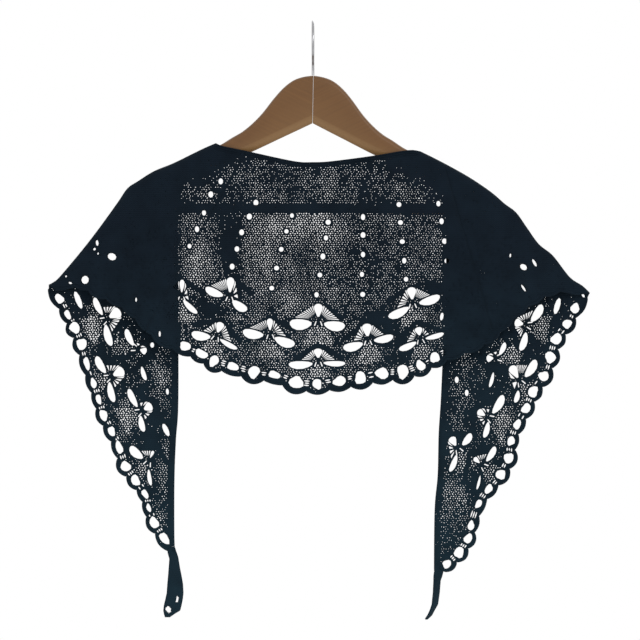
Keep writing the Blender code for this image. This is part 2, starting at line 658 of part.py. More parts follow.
def hook_path():
    """Middle of the hook's wire, from its tip over the top and down to the wood, in the plane X = 0."""
    radius = HOOK_RADIUS + WIRE_RADIUS
    centre_z = WIRE_RADIUS - radius
    path = []
    for degrees in range(HOOK_TIP_DEG, HOOK_NECK_DEG + 1, HOOK_STEP_DEG):
        angle = math.radians(degrees)
        path.append((0.0, radius * math.cos(angle), centre_z + radius * math.sin(angle)))
    bend_z = path[-1][2]
    path += [(0.0, bend.y, bend_z - bend.drop) for bend in HOOK_BENDS]
    path.append((0.0, 0.0, HOOK_FOOT_Z))
    return path


def make_hook(collection):
    curve = bpy.data.curves.new("hook", "CURVE")
    curve.dimensions = "3D"
    curve.bevel_depth = WIRE_RADIUS
    curve.bevel_resolution = 2
    curve.use_fill_caps = True
    path = hook_path()
    spline = curve.splines.new("POLY")
    spline.points.add(len(path) - 1)
    for point, place in zip(spline.points, path):
        point.co = (*place, 1.0)
    return add_object("hook", curve, STEEL, collection)


def make_front(collection):
    """The middle of the shawl in front of the hanger, in three stretches parted along the fan."""
    left, right = FOLDS
    neckline = smooth_line(NECKLINE, ROW_STEP)
    outline = [*scallops(FRONT_HEM), *reversed(right), *reversed(neckline[1:-1]), *left]
    ovals = (*FRONT_OVALS, *LEFT_THROUGH, *RIGHT_THROUGH)
    holes = hem_holes(FRONT_HEM) + lace(FRONT_MOTIFS, EYELETS, ovals)
    rows = roll_rows(left, -1) + roll_rows(right, 1)
    low, high = SEAM_SLOPES
    stretches = {
        "front_left": clip(outline, low, -1),
        "front_middle": clip(clip(outline, low, 1), high, -1),
        "front_right": clip(outline, high, 1),
    }
    for name, part in stretches.items():
        make_panel(name, part, holes, rows, front_depth, collection)


def make_ends(collection):
    """The two ends of the shawl, folded over the arms and hanging behind."""
    left, right = FOLDS
    upper = smooth_line(LEFT_EDGE, ROW_STEP)
    outline = [*scallops(LEFT_HEM), *reversed(upper), *left[1:]]
    holes = hem_holes(LEFT_HEM) + lace(LEFT_MOTIFS, (), (*LEFT_OVALS, *LEFT_THROUGH))
    make_panel("end_left", outline, holes, roll_rows(left, -1), end_depth, collection)

    upper = smooth_line(RIGHT_EDGE, ROW_STEP)
    outline = [*scallops(RIGHT_HEM), *reversed(right[1:]), *upper]
    holes = hem_holes(RIGHT_HEM) + lace(RIGHT_MOTIFS, (), (*RIGHT_OVALS, *RIGHT_THROUGH))
    make_panel("end_right", outline, holes, roll_rows(right, 1), end_depth, collection)


def make_tails(collection):
    for name, table in (("tail_left", LEFT_TAIL), ("tail_right", RIGHT_TAIL)):
        top = table[0]
        make_tail(name, table, end_depth(Vector((top.x, top.z))), collection)


def main():
    clear_scene()
    collection = bpy.data.collections.new("lace_shawl_on_hanger")
    bpy.context.scene.collection.children.link(collection)
    make_arm("arm_left", -1, collection)
    make_arm("arm_right", 1, collection)
    make_bar(collection)
    make_hook(collection)
    make_front(collection)
    make_ends(collection)
    make_tails(collection)


if __name__ == "__main__":
    main()
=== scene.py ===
"""Looks of a knitted lace shawl that hangs folded over a wooden trouser hanger.

Metres, +Z up, seen from -Y, with the origin at the inside top of the hanger's hook. The middle of the
shawl hangs in front of the hanger, and its two ends go over the arms and hang down behind it.
"""

from __future__ import annotations

import logging
import math
from dataclasses import dataclass, field
from enum import Enum

import bmesh
import bpy
import numpy as np
from mathutils import Matrix, Vector
from mathutils.geometry import delaunay_2d_cdt

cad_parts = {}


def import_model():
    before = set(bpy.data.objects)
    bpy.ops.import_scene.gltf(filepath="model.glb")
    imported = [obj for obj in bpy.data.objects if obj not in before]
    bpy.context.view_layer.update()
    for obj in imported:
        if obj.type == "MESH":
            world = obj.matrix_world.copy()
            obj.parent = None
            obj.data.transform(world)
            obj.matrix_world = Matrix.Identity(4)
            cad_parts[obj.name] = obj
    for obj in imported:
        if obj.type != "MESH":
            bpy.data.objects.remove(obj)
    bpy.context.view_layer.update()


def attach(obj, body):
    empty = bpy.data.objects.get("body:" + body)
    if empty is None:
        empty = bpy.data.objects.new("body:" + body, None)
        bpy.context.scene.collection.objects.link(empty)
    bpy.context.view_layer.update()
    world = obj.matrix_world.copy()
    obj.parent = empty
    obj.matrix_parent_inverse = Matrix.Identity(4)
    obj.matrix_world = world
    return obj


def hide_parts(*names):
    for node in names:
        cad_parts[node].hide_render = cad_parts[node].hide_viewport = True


LOG = logging.getLogger("lace_shawl")

BODY = "root"
PIXEL = 0.00119


class Layer(Enum):
    """The two layers of the folded shawl."""

    FRONT = -1
    BEHIND = 1


class Side(Enum):
    """The two halves of the hanger and of the shawl."""

    LEFT = -1
    RIGHT = 1


@dataclass(frozen=True)
class YarnFinish:
    """Dark petrol wool.

    Args:
        deep_tone_and_hollow_shade: Darker colour, for the random tone and for painted shade in the hollows of
            the stitches.
        crown_tone_and_light: Lighter colour, for the random tone and for painted light on top of the
            stitches.
        wear_and_lit_tint: Paler colour of the low parts, painted light where the light comes through.
        stitch: Width of a stitch in metres.
        row_share: Height of a stitch against its width.
        leg_rise: How steep the legs of a stitch are.
        ply_scale: Scale of the plies' noise.
        tone_scale: Scale of the slow change of tone.
        lit_tint_from: Height at which the painted light of the low parts starts.
        lit_tint_rate: How fast it grows below that, per metre.
        relief: Strength of the stitches' relief.
        relief_height: Height of the relief in metres.
    """

    deep_tone_and_hollow_shade: tuple[float, float, float] = (0.0022, 0.0046, 0.0082)
    crown_tone_and_light: tuple[float, float, float] = (0.0056, 0.0112, 0.0186)
    wear_and_lit_tint: tuple[float, float, float] = (0.0110, 0.0315, 0.0450)
    stitch: float = 0.0031
    row_share: float = 0.8
    leg_rise: float = 3.0
    ply_scale: float = 2600.0
    tone_scale: float = 38.0
    lit_tint_from: float = -0.27
    lit_tint_rate: float = 1.3
    relief: float = 0.55
    relief_height: float = 0.0006
    roughness: float = 0.9
    sheen: float = 0.02
    gloss: float = 0.07

    def build(self, name: str) -> bpy.types.Material:
        """Makes the material.

        Args:
            name: Name of the material.

        Returns:
            The material.
        """
        shade = Shader(name)
        x, _, z = shade.axes()
        columns = shade.math("MULTIPLY", x, math.tau / self.stitch)
        rows = shade.math("MULTIPLY", z, math.tau / (self.stitch * self.row_share))
        slant = shade.math("ABSOLUTE", shade.math("SINE", shade.math("MULTIPLY", columns, 0.5)))
        legs = shade.math("SINE", shade.math("ADD", rows, shade.math("MULTIPLY", slant, self.leg_rise)))
        ply = shade.noise(self.ply_scale, 2.0)
        tone = shade.noise(self.tone_scale, 3.0)
        height = shade.math("ADD", shade.math("MULTIPLY", legs, 0.5), shade.math("MULTIPLY", ply, 0.7))
        # Painted shade and light: the stitch pattern adds a little painted shade in the hollows and painted
        # light on the tops, on top of the random tone.
        blend = shade.math("ADD", shade.math("MULTIPLY", legs, 0.18), tone)
        # Painted light: below a set height the colour turns towards the paler teal, more so lower down.
        low = shade.clamp(shade.math("MULTIPLY", shade.math("ADD", z, -self.lit_tint_from), -self.lit_tint_rate))
        share = shade.math("MULTIPLY", low, shade.math("ADD", tone, 0.25))
        shade.colour(shade.mix_sockets(share, shade.mix(blend, self.deep_tone_and_hollow_shade, self.crown_tone_and_light), self.wear_and_lit_tint))
        shade.bump(height, self.relief, self.relief_height)
        shade.set("Roughness", self.roughness)
        shade.set("Sheen Weight", self.sheen)
        shade.set("Sheen Roughness", 0.45)
        shade.set("Sheen Tint", (0.55, 0.80, 0.90, 1.0))
        shade.set("Specular IOR Level", self.gloss)
        return shade.material


@dataclass(frozen=True)
class WoodFinish:
    """Satin varnished brown wood, with painted light that makes its down-facing lower chamfer paler."""

    dark: tuple[float, float, float] = (0.078, 0.033, 0.008)
    light: tuple[float, float, float] = (0.143, 0.064, 0.017)
    # Painted light: colour of the faces that point down.
    pale: tuple[float, float, float] = (0.190, 0.104, 0.040)
    roughness: float = 0.42
    gloss: float = 0.32
    coat: float = 0.05
    grain_scale: tuple[float, float, float] = (14.0, 160.0, 420.0)
    pore_scale: tuple[float, float, float] = (90.0, 900.0, 2600.0)
    pore_height: float = 0.0004
    underside_light_rate: float = 2.2

    def build(self, name: str, lean: float) -> bpy.types.Material:
        """Makes the material, with its grain along an arm.

        Args:
            name: Name of the material.
            lean: Slope of the grain across the front, in radians.

        Returns:
            The material.
        """
        shade = Shader(name)
        grain = shade.stretched_noise(lean, self.grain_scale, 5.0)
        pores = shade.stretched_noise(lean, self.pore_scale, 3.0)
        broad = shade.noise(16.0, 2.0)
        share = shade.math("ADD", shade.math("MULTIPLY", grain, 0.75), shade.math("MULTIPLY", broad, 0.35))
        body = shade.mix(share, self.dark, self.light)
        # Painted light: faces that point down are blended towards the paler colour.
        below = shade.math("MULTIPLY", shade.normal_z(), -self.underside_light_rate)
        shade.colour(shade.mix_sockets(shade.clamp(below), body, self.pale))
        shade.bump(pores, 0.12, self.pore_height)
        shade.set("Roughness", self.roughness)
        shade.set("Specular IOR Level", self.gloss)
        shade.set("Coat Weight", self.coat)
        shade.set("Coat Roughness", 0.35)
        return shade.material


@dataclass(frozen=True)
class WireFinish:
    """Bright nickel-plated wire with fine drawing marks."""

    colour: tuple[float, float, float] = (0.42, 0.42, 0.43)
    roughness: float = 0.24

    def build(self, name: str) -> bpy.types.Material:
        """Makes the material, in a shader of its own."""
        shade = Shader(name)
        marks = shade.noise(420.0, 3.0)
        wear_and_lit_tint = tuple(0.72 * value for value in self.colour)
        shade.colour(shade.mix(marks, wear_and_lit_tint, self.colour))
        shade.link("Roughness", shade.math("ADD", shade.math("MULTIPLY", marks, 0.16), self.roughness - 0.08))
        shade.set("Metallic", 1.0)
        return shade.material


class Shader:
    """A material's node tree, with short calls for the nodes that the finishes use."""

    def __init__(self, name: str) -> None:
        """Starts a material with one Principled node."""
        self.material = bpy.data.materials.new(name)
        self.material.use_nodes = True
        self.tree = self.material.node_tree
        self.body = self.tree.nodes["Principled BSDF"]
        self.place = self.tree.nodes.new("ShaderNodeTexCoord").outputs["Object"]

    def axes(self) -> tuple:
        """The three object coordinates as sockets."""
        split = self.tree.nodes.new("ShaderNodeSeparateXYZ")
        self.tree.links.new(self.place, split.inputs[0])
        return tuple(split.outputs)

    def normal_z(self) -> bpy.types.NodeSocket:
        """The upward part of the surface's normal."""
        geometry = self.tree.nodes.new("ShaderNodeNewGeometry")
        split = self.tree.nodes.new("ShaderNodeSeparateXYZ")
        self.tree.links.new(geometry.outputs["Normal"], split.inputs[0])
        return split.outputs["Z"]

    def plug(self, socket: bpy.types.NodeSocket, value) -> None:
        """Links a socket to another, or sets it to a number or colour."""
        if isinstance(value, bpy.types.NodeSocket):
            self.tree.links.new(value, socket)
        else:
            socket.default_value = value

    def math(self, kind: str, a, b=0.0) -> bpy.types.NodeSocket:
        """A Math node.

        Args:
            kind: Its operation.
            a: First socket or number.
            b: Second socket or number.

        Returns:
            The result's socket.
        """
        node = self.tree.nodes.new("ShaderNodeMath")
        node.operation = kind
        self.plug(node.inputs[0], a)
        self.plug(node.inputs[1], b)
        return node.outputs[0]

    def clamp(self, value) -> bpy.types.NodeSocket:
        """The value kept between 0 and 1."""
        node = self.tree.nodes.new("ShaderNodeClamp")
        self.plug(node.inputs[0], value)
        return node.outputs[0]

    def noise(self, scale: float, detail: float) -> bpy.types.NodeSocket:
        """Noise over the object's coordinates, from 0 to 1."""
        node = self.tree.nodes.new("ShaderNodeTexNoise")
        self.tree.links.new(self.place, node.inputs["Vector"])
        node.inputs["Scale"].default_value = scale
        node.inputs["Detail"].default_value = detail
        return node.outputs[0]

    def stretched_noise(self, lean: float, scale: tuple, detail: float) -> bpy.types.NodeSocket:
        """Noise drawn out along a slanted line, as wood grain is.

        Args:
            lean: Slope of the line in the front view, in radians.
            scale: Scale along the line, across it in depth, and across it in height.
            detail: Detail of the noise.

        Returns:
            The noise's socket.
        """
        turn = self.tree.nodes.new("ShaderNodeMapping")
        turn.inputs["Rotation"].default_value = (0.0, lean, 0.0)
        stretch = self.tree.nodes.new("ShaderNodeMapping")
        stretch.inputs["Scale"].default_value = scale
        node = self.tree.nodes.new("ShaderNodeTexNoise")
        node.inputs["Scale"].default_value = 1.0
        node.inputs["Detail"].default_value = detail
        self.tree.links.new(self.place, turn.inputs["Vector"])
        self.tree.links.new(turn.outputs[0], stretch.inputs["Vector"])
        self.tree.links.new(stretch.outputs[0], node.inputs["Vector"])
        return node.outputs[0]

    def mix(self, share, first: tuple, second: tuple) -> bpy.types.NodeSocket:
        """A blend of two colours."""
        return self.mix_sockets(share, (*first, 1.0), second)

    def mix_sockets(self, share, first, second) -> bpy.types.NodeSocket:
        """A blend of a colour or socket with a colour."""
        node = self.tree.nodes.new("ShaderNodeMix")
        node.data_type = "RGBA"
        self.plug(node.inputs["Factor"], share)
        self.plug(node.inputs[6], first)
        self.plug(node.inputs[7], (*second, 1.0))
        return node.outputs[2]

    def colour(self, value: bpy.types.NodeSocket) -> None:
        """Sets the base colour."""
        self.link("Base Color", value)

    def link(self, name: str, value: bpy.types.NodeSocket) -> None:
        """Links a socket of the shader."""
        self.tree.links.new(value, self.body.inputs[name])

    def set(self, name: str, value) -> None:
        """Sets a socket of the shader to a plain value."""
        self.body.inputs[name].default_value = value

    def bump(self, height: bpy.types.NodeSocket, strength: float, distance: float) -> None:
        """Gives the surface a relief.

        Args:
            height: The relief's height.
            strength: How strong it is, from 0 to 1.
            distance: The height of 1, in metres.
        """
        node = self.tree.nodes.new("ShaderNodeBump")
        node.inputs["Strength"].default_value = strength
        node.inputs["Distance"].default_value = distance
        self.tree.links.new(height, node.inputs["Height"])
        self.tree.links.new(node.outputs[0], self.body.inputs["Normal"])


def smooth_line(rows: tuple, step: float) -> np.ndarray:
    """A smooth curve through a table of points.

    Args:
        rows: Points as (x, z).
        step: Greatest distance between the curve's points.

    Returns:
        The curve's points.
    """
    ends = [rows[0], *rows, rows[-1]]
    line = []
    for a, b, c, d in zip(ends, ends[1:], ends[2:], ends[3:]):
        a, b, c, d = (np.array(p) for p in (a, b, c, d))
        count = max(1, math.ceil(float(np.linalg.norm(c - b)) / step))
        t = (np.arange(count) / count)[:, None]
        bend = (2 * a - 5 * b + 4 * c - d) * t**2 + (3 * b - a - 3 * c + d) * t**3
        line.append(b + 0.5 * ((c - a) * t + bend))
    return np.vstack([*line, np.array([rows[-1]])])


def spaced(line: np.ndarray, step: float) -> np.ndarray:
    """The line again, with its points evenly spaced.

    Args:
        line: Points of a line, in two or three axes.
        step: Distance between the new points.

    Returns:
        The new points.
    """
    along = np.concatenate([[0.0], np.cumsum(np.linalg.norm(np.diff(line, axis=0), axis=1))])
    at = np.linspace(0.0, along[-1], max(2, math.ceil(along[-1] / step) + 1))
    return np.stack([np.interp(at, along, line[:, k]) for k in range(line.shape[1])], axis=1)


def away_from(points: np.ndarray, line: np.ndarray) -> np.ndarray:
    """Distance of each point from a line.

    Args:
        points: Points as rows of (x, z).
        line: The line's points.

    Returns:
        One distance for each point.
    """
    best = np.full(len(points), np.inf)
    for a, b in zip(line, line[1:]):
        side = b - a
        along = np.clip((points - a) @ side / max(float(side @ side), 1e-15), 0.0, 1.0)
        best = np.minimum(best, np.linalg.norm(points - a - along[:, None] * side, axis=1))
    return best


def within(points: np.ndarray, loop: np.ndarray) -> np.ndarray:
    """Which points lie inside a closed outline.

    Args:
        points: Points as rows of (x, z).
        loop: The outline's points.

    Returns:
        True for each point inside.
    """
    hit = np.zeros(len(points), bool)
    x, z = points[:, 0], points[:, 1]
    for a, b in zip(loop, np.roll(loop, -1, axis=0)):
        if a[1] != b[1]:
            crosses = (a[1] > z) != (b[1] > z)
            hit ^= crosses & (x < a[0] + (z - a[1]) / (b[1] - a[1]) * (b[0] - a[0]))
    return hit


def leftward(loop: np.ndarray) -> np.ndarray:
    """The outline with its inside on the left of its sides."""
    x, z = loop[:, 0], loop[:, 1]
    turn = float(np.sum(x * np.roll(z, -1) - z * np.roll(x, -1)))
    return loop if turn > 0 else loop[::-1]


def beside(line: np.ndarray, distance: float) -> np.ndarray:
    """A line at a distance on the left of another."""
    along = np.gradient(line, axis=0)
    along /= np.linalg.norm(along, axis=1)[:, None]
    return line + distance * np.stack([-along[:, 1], along[:, 0]], axis=1)


def ease(value: np.ndarray) -> np.ndarray:
    """A smooth step from 0 to 1."""
    value = np.clip(value, 0.0, 1.0)
    return value * value * (3.0 - 2.0 * value)


@dataclass(frozen=True)
class Crease:
    """A soft ridge or trough of the cloth, from one point to another.

    Args:
        start: Upper end as (x, z).
        end: Lower end as (x, z).
        width: Half width in metres.
        height: Height in metres, below 0 for a trough.
    """

    start: tuple[float, float]
    end: tuple[float, float]
    width: float
    height: float

    def relief(self, points: np.ndarray) -> np.ndarray:
        """Height of the crease at each point."""
        line = np.array([self.start, self.end])
        side = line[1] - line[0]
        along = np.clip((points - line[0]) @ side / float(side @ side), 0.0, 1.0)
        fade = np.sin(np.pi * along) ** 0.5
        return self.height * fade * np.exp(-((away_from(points, line) / self.width) ** 2))


@dataclass
class Drape:
    """The folds of the shawl over the hanger's arms, as in the solids."""

    roll: float = 0.0076
    roll_tip: float = 0.0034
    taper: tuple[float, float] = (0.226, 0.318)
    ridge: float = 0.0004
    billow: float = 0.0040
    wave: float = 0.0022
    loose_top: float = -0.180
    loose_depth: float = 0.110
    loose_out: float = 0.070
    front_waves: tuple = ((47, 9, 1.0), (83, -14, 0.5))
    back_waves: tuple = ((62, 11, 1.0), (0, 31, 0.4))
    left: tuple = (
        (-0.1154, -0.1436), (-0.1315, -0.1506), (-0.1654, -0.1672), (-0.1892, -0.1770),
        (-0.2080, -0.1888), (-0.2202, -0.1970), (-0.2307, -0.2122), (-0.2456, -0.2331),
        (-0.2582, -0.2502), (-0.2730, -0.2692), (-0.2924, -0.2926), (-0.3052, -0.3068),
        (-0.3142, -0.3120),
    )
    right: tuple = (
        (0.1273, -0.1532), (0.1440, -0.1614), (0.1670, -0.1735), (0.1892, -0.1864),
        (0.2118, -0.2019), (0.2282, -0.2160), (0.2410, -0.2256), (0.2529, -0.2422),
        (0.2683, -0.2636), (0.2848, -0.2770), (0.3050, -0.3028), (0.3200, -0.3130),
        (0.3290, -0.3216),
    )
    creases: dict[Layer, tuple[Crease, ...]] = field(default_factory=lambda: {
        Layer.FRONT: (
            Crease((-0.175, -0.215), (-0.105, -0.375), 0.016, 0.0016),
            Crease((-0.120, -0.205), (-0.060, -0.330), 0.014, -0.0012),
            Crease((0.165, -0.225), (0.120, -0.385), 0.017, 0.0017),
            Crease((0.080, -0.215), (0.070, -0.400), 0.018, -0.0012),
            Crease((-0.020, -0.230), (-0.010, -0.410), 0.020, 0.0013),
            Crease((-0.250, -0.255), (-0.205, -0.335), 0.012, 0.0014),
            Crease((0.255, -0.260), (0.215, -0.345), 0.012, 0.0013),
        ),
        Layer.BEHIND: (
            Crease((-0.180, -0.250), (-0.172, -0.560), 0.012, 0.0018),
            Crease((-0.215, -0.260), (-0.190, -0.520), 0.013, -0.0014),
            Crease((-0.255, -0.290), (-0.225, -0.480), 0.012, 0.0013),
            Crease((0.172, -0.250), (0.158, -0.600), 0.012, 0.0018),
            Crease((0.215, -0.270), (0.180, -0.560), 0.014, -0.0014),
            Crease((0.265, -0.300), (0.220, -0.490), 0.012, 0.0014),
        ),
    })

    def __post_init__(self) -> None:
        """Works out the two fold lines."""
        self.folds = {
            Side.LEFT: smooth_line(self.left, 0.006),
            Side.RIGHT: smooth_line(self.right, 0.006),
        }

    def from_fold(self, points: np.ndarray) -> np.ndarray:
        """Distance of each point from the nearer fold line."""
        return np.minimum(*(away_from(points, fold) for fold in self.folds.values()))

    def radius(self, x: np.ndarray) -> np.ndarray:
        """Radius of the fold, tighter towards the corners of the hem."""
        start, stop = self.taper
        share = np.clip((np.abs(x) - start) / (stop - start), 0.0, 1.0)
        return self.roll + (self.roll_tip - self.roll) * share

    def depth(self, points: np.ndarray, layer: Layer) -> np.ndarray:
        """Place of the cloth along Y.

        Args:
            points: Points as rows of (x, z).
            layer: The layer that they are on.

        Returns:
            One depth for each point.
        """
        x, z = points[:, 0], points[:, 1]
        out = self.from_fold(points)
        radius = self.radius(x)
        rolled = np.sqrt(radius**2 - np.maximum(0.0, radius - out) ** 2)
        loose = ease((self.loose_top - z) / self.loose_depth) * ease(out / self.loose_out)
        waves = self.front_waves if layer is Layer.FRONT else self.back_waves
        wave = sum(tall * np.sin(across * x + up * z) for across, up, tall in waves)
        crease = sum(c.relief(points) for c in self.creases[layer])
        soft = ease((self.loose_top - z) / (self.loose_depth / 2)) * ease(out / 0.03)
        swell = loose * (self.billow + self.wave * wave) + soft * crease
        return layer.value * (self.ridge + rolled + swell)

    def rows(self, side: Side) -> list[np.ndarray]:
        """Rows of points that make the fold round.

        Args:
            side: Which fold.

        Returns:
            One row of points for each step of the fold's curve.
        """
        fold = self.folds[side]
        middle = (fold[1:] + fold[:-1]) / 2
        along = fold[1:] - fold[:-1]
        along /= np.linalg.norm(along, axis=1)[:, None]
        inward = side.value * np.stack([along[:, 1], -along[:, 0]], axis=1)
        rows = []
        for degrees in (18, 36, 54, 72, 90):
            reach = (1 - math.cos(math.radians(degrees))) * self.radius(middle[:, 0])
            rows.append(middle + inward * reach[:, None])
        return rows


@dataclass(frozen=True)
class Gap:
    """One drop-shaped gap of a motif.

    Args:
        turn: Turn from its usual direction, in degrees.
        long: Length in metres.
        wide: Width in metres.
        out: Extra distance from the knot in metres.
    """

    turn: float
    long: float
    wide: float
    out: float = 0.0


@dataclass(frozen=True)
class Motif:
    """One lace motif: two wings, a drop over its head, and slits that fan out from its knot.

    Args:
        x: Place of the knot across the shawl.
        z: Height of the knot.
        left: Its left wing, which usually points left.
        right: Its right wing, which usually points right.
        head: Its head, which usually points up.
        slits: Number of slits on the left and on the right of the head.
    """

    x: float
    z: float
    left: Gap
    right: Gap
    head: Gap
    slits: tuple[int, int]

    WING_TOP = ((0.04, 0.05), (0.20, 0.20), (0.45, 0.27), (0.70, 0.26), (0.90, 0.16), (0.99, -0.06))
    WING_BELLY = ((0.97, -0.30), (0.86, -0.56), (0.66, -0.72), (0.42, -0.68), (0.20, -0.46), (0.05, -0.18))
    HEAD_SIDE = ((0.05, 0.10), (0.28, 0.26), (0.55, 0.44), (0.78, 0.50), (0.93, 0.34), (1.00, 0.12))
    WING_ROOT = 0.0038
    HEAD_FOOT = 0.0019
    SLIT_PITCH = 0.0031
    THREAD = 0.0009
    ARCH_TOP = 14.5
    ARCH_FALL = 0.58
    ARCH_BAND = (-2.0, 3.4)
    ARCH_HALF = 25
    ARCH_GAIN = -2.0
    CONE_SPAN = (-25, -4)
    CONE_GAIN = 0.55
    TAIL_SLIT = ((0.0019, -0.0026), (0.0032, -0.0028), (0.0052, -0.0078), (0.0038, -0.0082))

    @property
    def place(self) -> np.ndarray:
        """The knot's place."""
        return np.array([self.x, self.z])

    def wing(self, gap: Gap, side: float) -> np.ndarray:
        """Outline of a wing.

        Args:
            gap: The wing.
            side: -1 for the left one, 1 for the right.

        Returns:
            The outline.
        """
        shape = np.array([*self.WING_TOP, *self.WING_BELLY])
        start = (self.WING_ROOT + 0.2 * gap.wide + gap.out, -0.0014 - 0.3 * gap.wide)
        local = np.stack([start[0] + shape[:, 0] * gap.long, start[1] + shape[:, 1] * gap.wide], axis=1)
        return self.place + turned(local * (side, 1.0), math.radians(gap.turn))

    def drop(self) -> np.ndarray:
        """Outline of the gap over the head."""
        side = np.array(self.HEAD_SIDE)
        right = np.stack([side[:, 1] * self.head.wide, self.HEAD_FOOT + side[:, 0] * self.head.long], axis=1)
        loop = np.vstack([right, (right * (-1, 1))[::-1]])
        return self.place + turned(loop, math.radians(self.head.turn))

    def fan(self, side: float) -> list[np.ndarray]:
        """Outlines of the slits on one side of the head.

        Args:
            side: -1 for the left, 1 for the right.

        Returns:
            The outlines.
        """
        count = self.slits[0 if side < 0 else 1]
        if count == 0:
            return []
        gap = self.left if side < 0 else self.right
        reach = min(1.0, count * self.SLIT_PITCH / (self.WING_ROOT + gap.out + gap.long))
        head, long = self.head.wide, self.head.long
        flank = np.array([
            (side * (0.27 * head + self.THREAD), self.HEAD_FOOT + 0.26 * long),
            (side * (0.44 * head + self.THREAD), self.HEAD_FOOT + 0.88 * long),
        ])
        wing = np.array([
            (side * (0.0042 + 0.30 * reach * gap.long), self.THREAD - 0.0012),
            (side * (self.WING_ROOT + gap.out + 0.97 * reach * gap.long), self.THREAD - 0.0012),
        ])
        inner, outer = np.stack([turned(flank, math.radians(self.head.turn)),
                                 turned(wing, math.radians(gap.turn))], axis=1)
        loops = []
        for i in range(count):
            low, middle, high = (i + 0.22) / count, (i + 0.5) / count, (i + 0.78) / count
            rows = ((inner, middle - 0.13 / count, 1.0), (outer, low, 1.0), (outer, middle, 1.03),
                    (outer, high, 1.0), (inner, middle + 0.13 / count, 1.0))
            loops.append(self.place + np.array([(a + (b - a) * t) * out for (a, b), t, out in rows]))
        return loops

    def gaps(self) -> list[np.ndarray]:
        """Outlines of all the motif's gaps."""
        loops = [self.drop(), self.wing(self.left, -1.0), self.wing(self.right, 1.0)]
        loops += self.fan(-1.0) + self.fan(1.0)
        for side in (-1.0, 1.0):
            slit = np.array(self.TAIL_SLIT) * (side, 1.0)
            loops.append(self.place + turned(slit, math.radians(self.head.turn)))
        return loops

    def openness(self, points: np.ndarray) -> np.ndarray:
        """How the motif changes the mesh around it.

        Args:
            points: Points of the shawl.

        Returns:
            An amount to add for each point: below 0 in the border over the head, over 0 below the knot.
        """
        local = turned(points - self.place, -math.radians(self.head.turn)) / PIXEL
        across, up = np.abs(local[:, 0]), local[:, 1]
        above_arch = up - (self.ARCH_TOP - self.ARCH_FALL * across)
        under, over = self.ARCH_BAND
        border = (above_arch > under) & (above_arch < over) & (across < self.ARCH_HALF)
        bottom, top = self.CONE_SPAN
        cone = (up < top) & (up > bottom) & (across < 4 - 0.45 * up)
        return np.where(border, self.ARCH_GAIN, np.where(cone, self.CONE_GAIN, 0.0))


@dataclass(frozen=True)
class Oval:
    """A plain rounded gap.

    Args:
        x: Its place across the shawl.
        z: Its height.
        wide: Half its width.
        tall: Half its height.
        turn: Its turn in degrees.
    """

    x: float
    z: float
    wide: float
    tall: float
    turn: float = 0.0

    def loop(self, sides: int = 9) -> np.ndarray:
        """Its outline."""
        angle = math.tau * (np.arange(sides) + 0.5) / sides
        flat = np.stack([self.wide * np.cos(angle), self.tall * np.sin(angle)], axis=1)
        return np.array([self.x, self.z]) + turned(flat, math.radians(self.turn))


@dataclass(frozen=True)
class Patch:
    """A soft patch where the knitting is more open, or denser where the gain is below 0.

    Args:
        x: Its place across the shawl.
        z: Its height.
        wide: Half its width.
        tall: Half its height.
        gain: What it adds to the openness at its middle.
    """

    x: float
    z: float
    wide: float
    tall: float
    gain: float

    def amount(self, points: np.ndarray) -> np.ndarray:
        """What the patch adds at each point."""
        off = (points - np.array([self.x, self.z])) / np.array([self.wide, self.tall])
        return self.gain * np.exp(-(off**2).sum(axis=1))


def turned(points: np.ndarray, angle: float) -> np.ndarray:
    """Points turned about the origin, anticlockwise in the front view."""
    turn = np.array([[math.cos(angle), -math.sin(angle)], [math.sin(angle), math.cos(angle)]])
    return points @ turn.T


def each(kind: type, rows: tuple) -> tuple:
    """One object for each row of a table, its columns in the order of the kind's fields.

    Args:
        kind: The dataclass of the objects.
        rows: The table's rows.

    Returns:
        The objects.
    """
    return tuple(kind(*row) for row in rows)


@dataclass(frozen=True)
class HemHole:
    """One hole of a hem.

    Args:
        x: Its place across the shawl.
        z: Its height.
        along: Half its length along the hem.
        across: Half its width across the hem.
    """

    x: float
    z: float
    along: float
    across: float


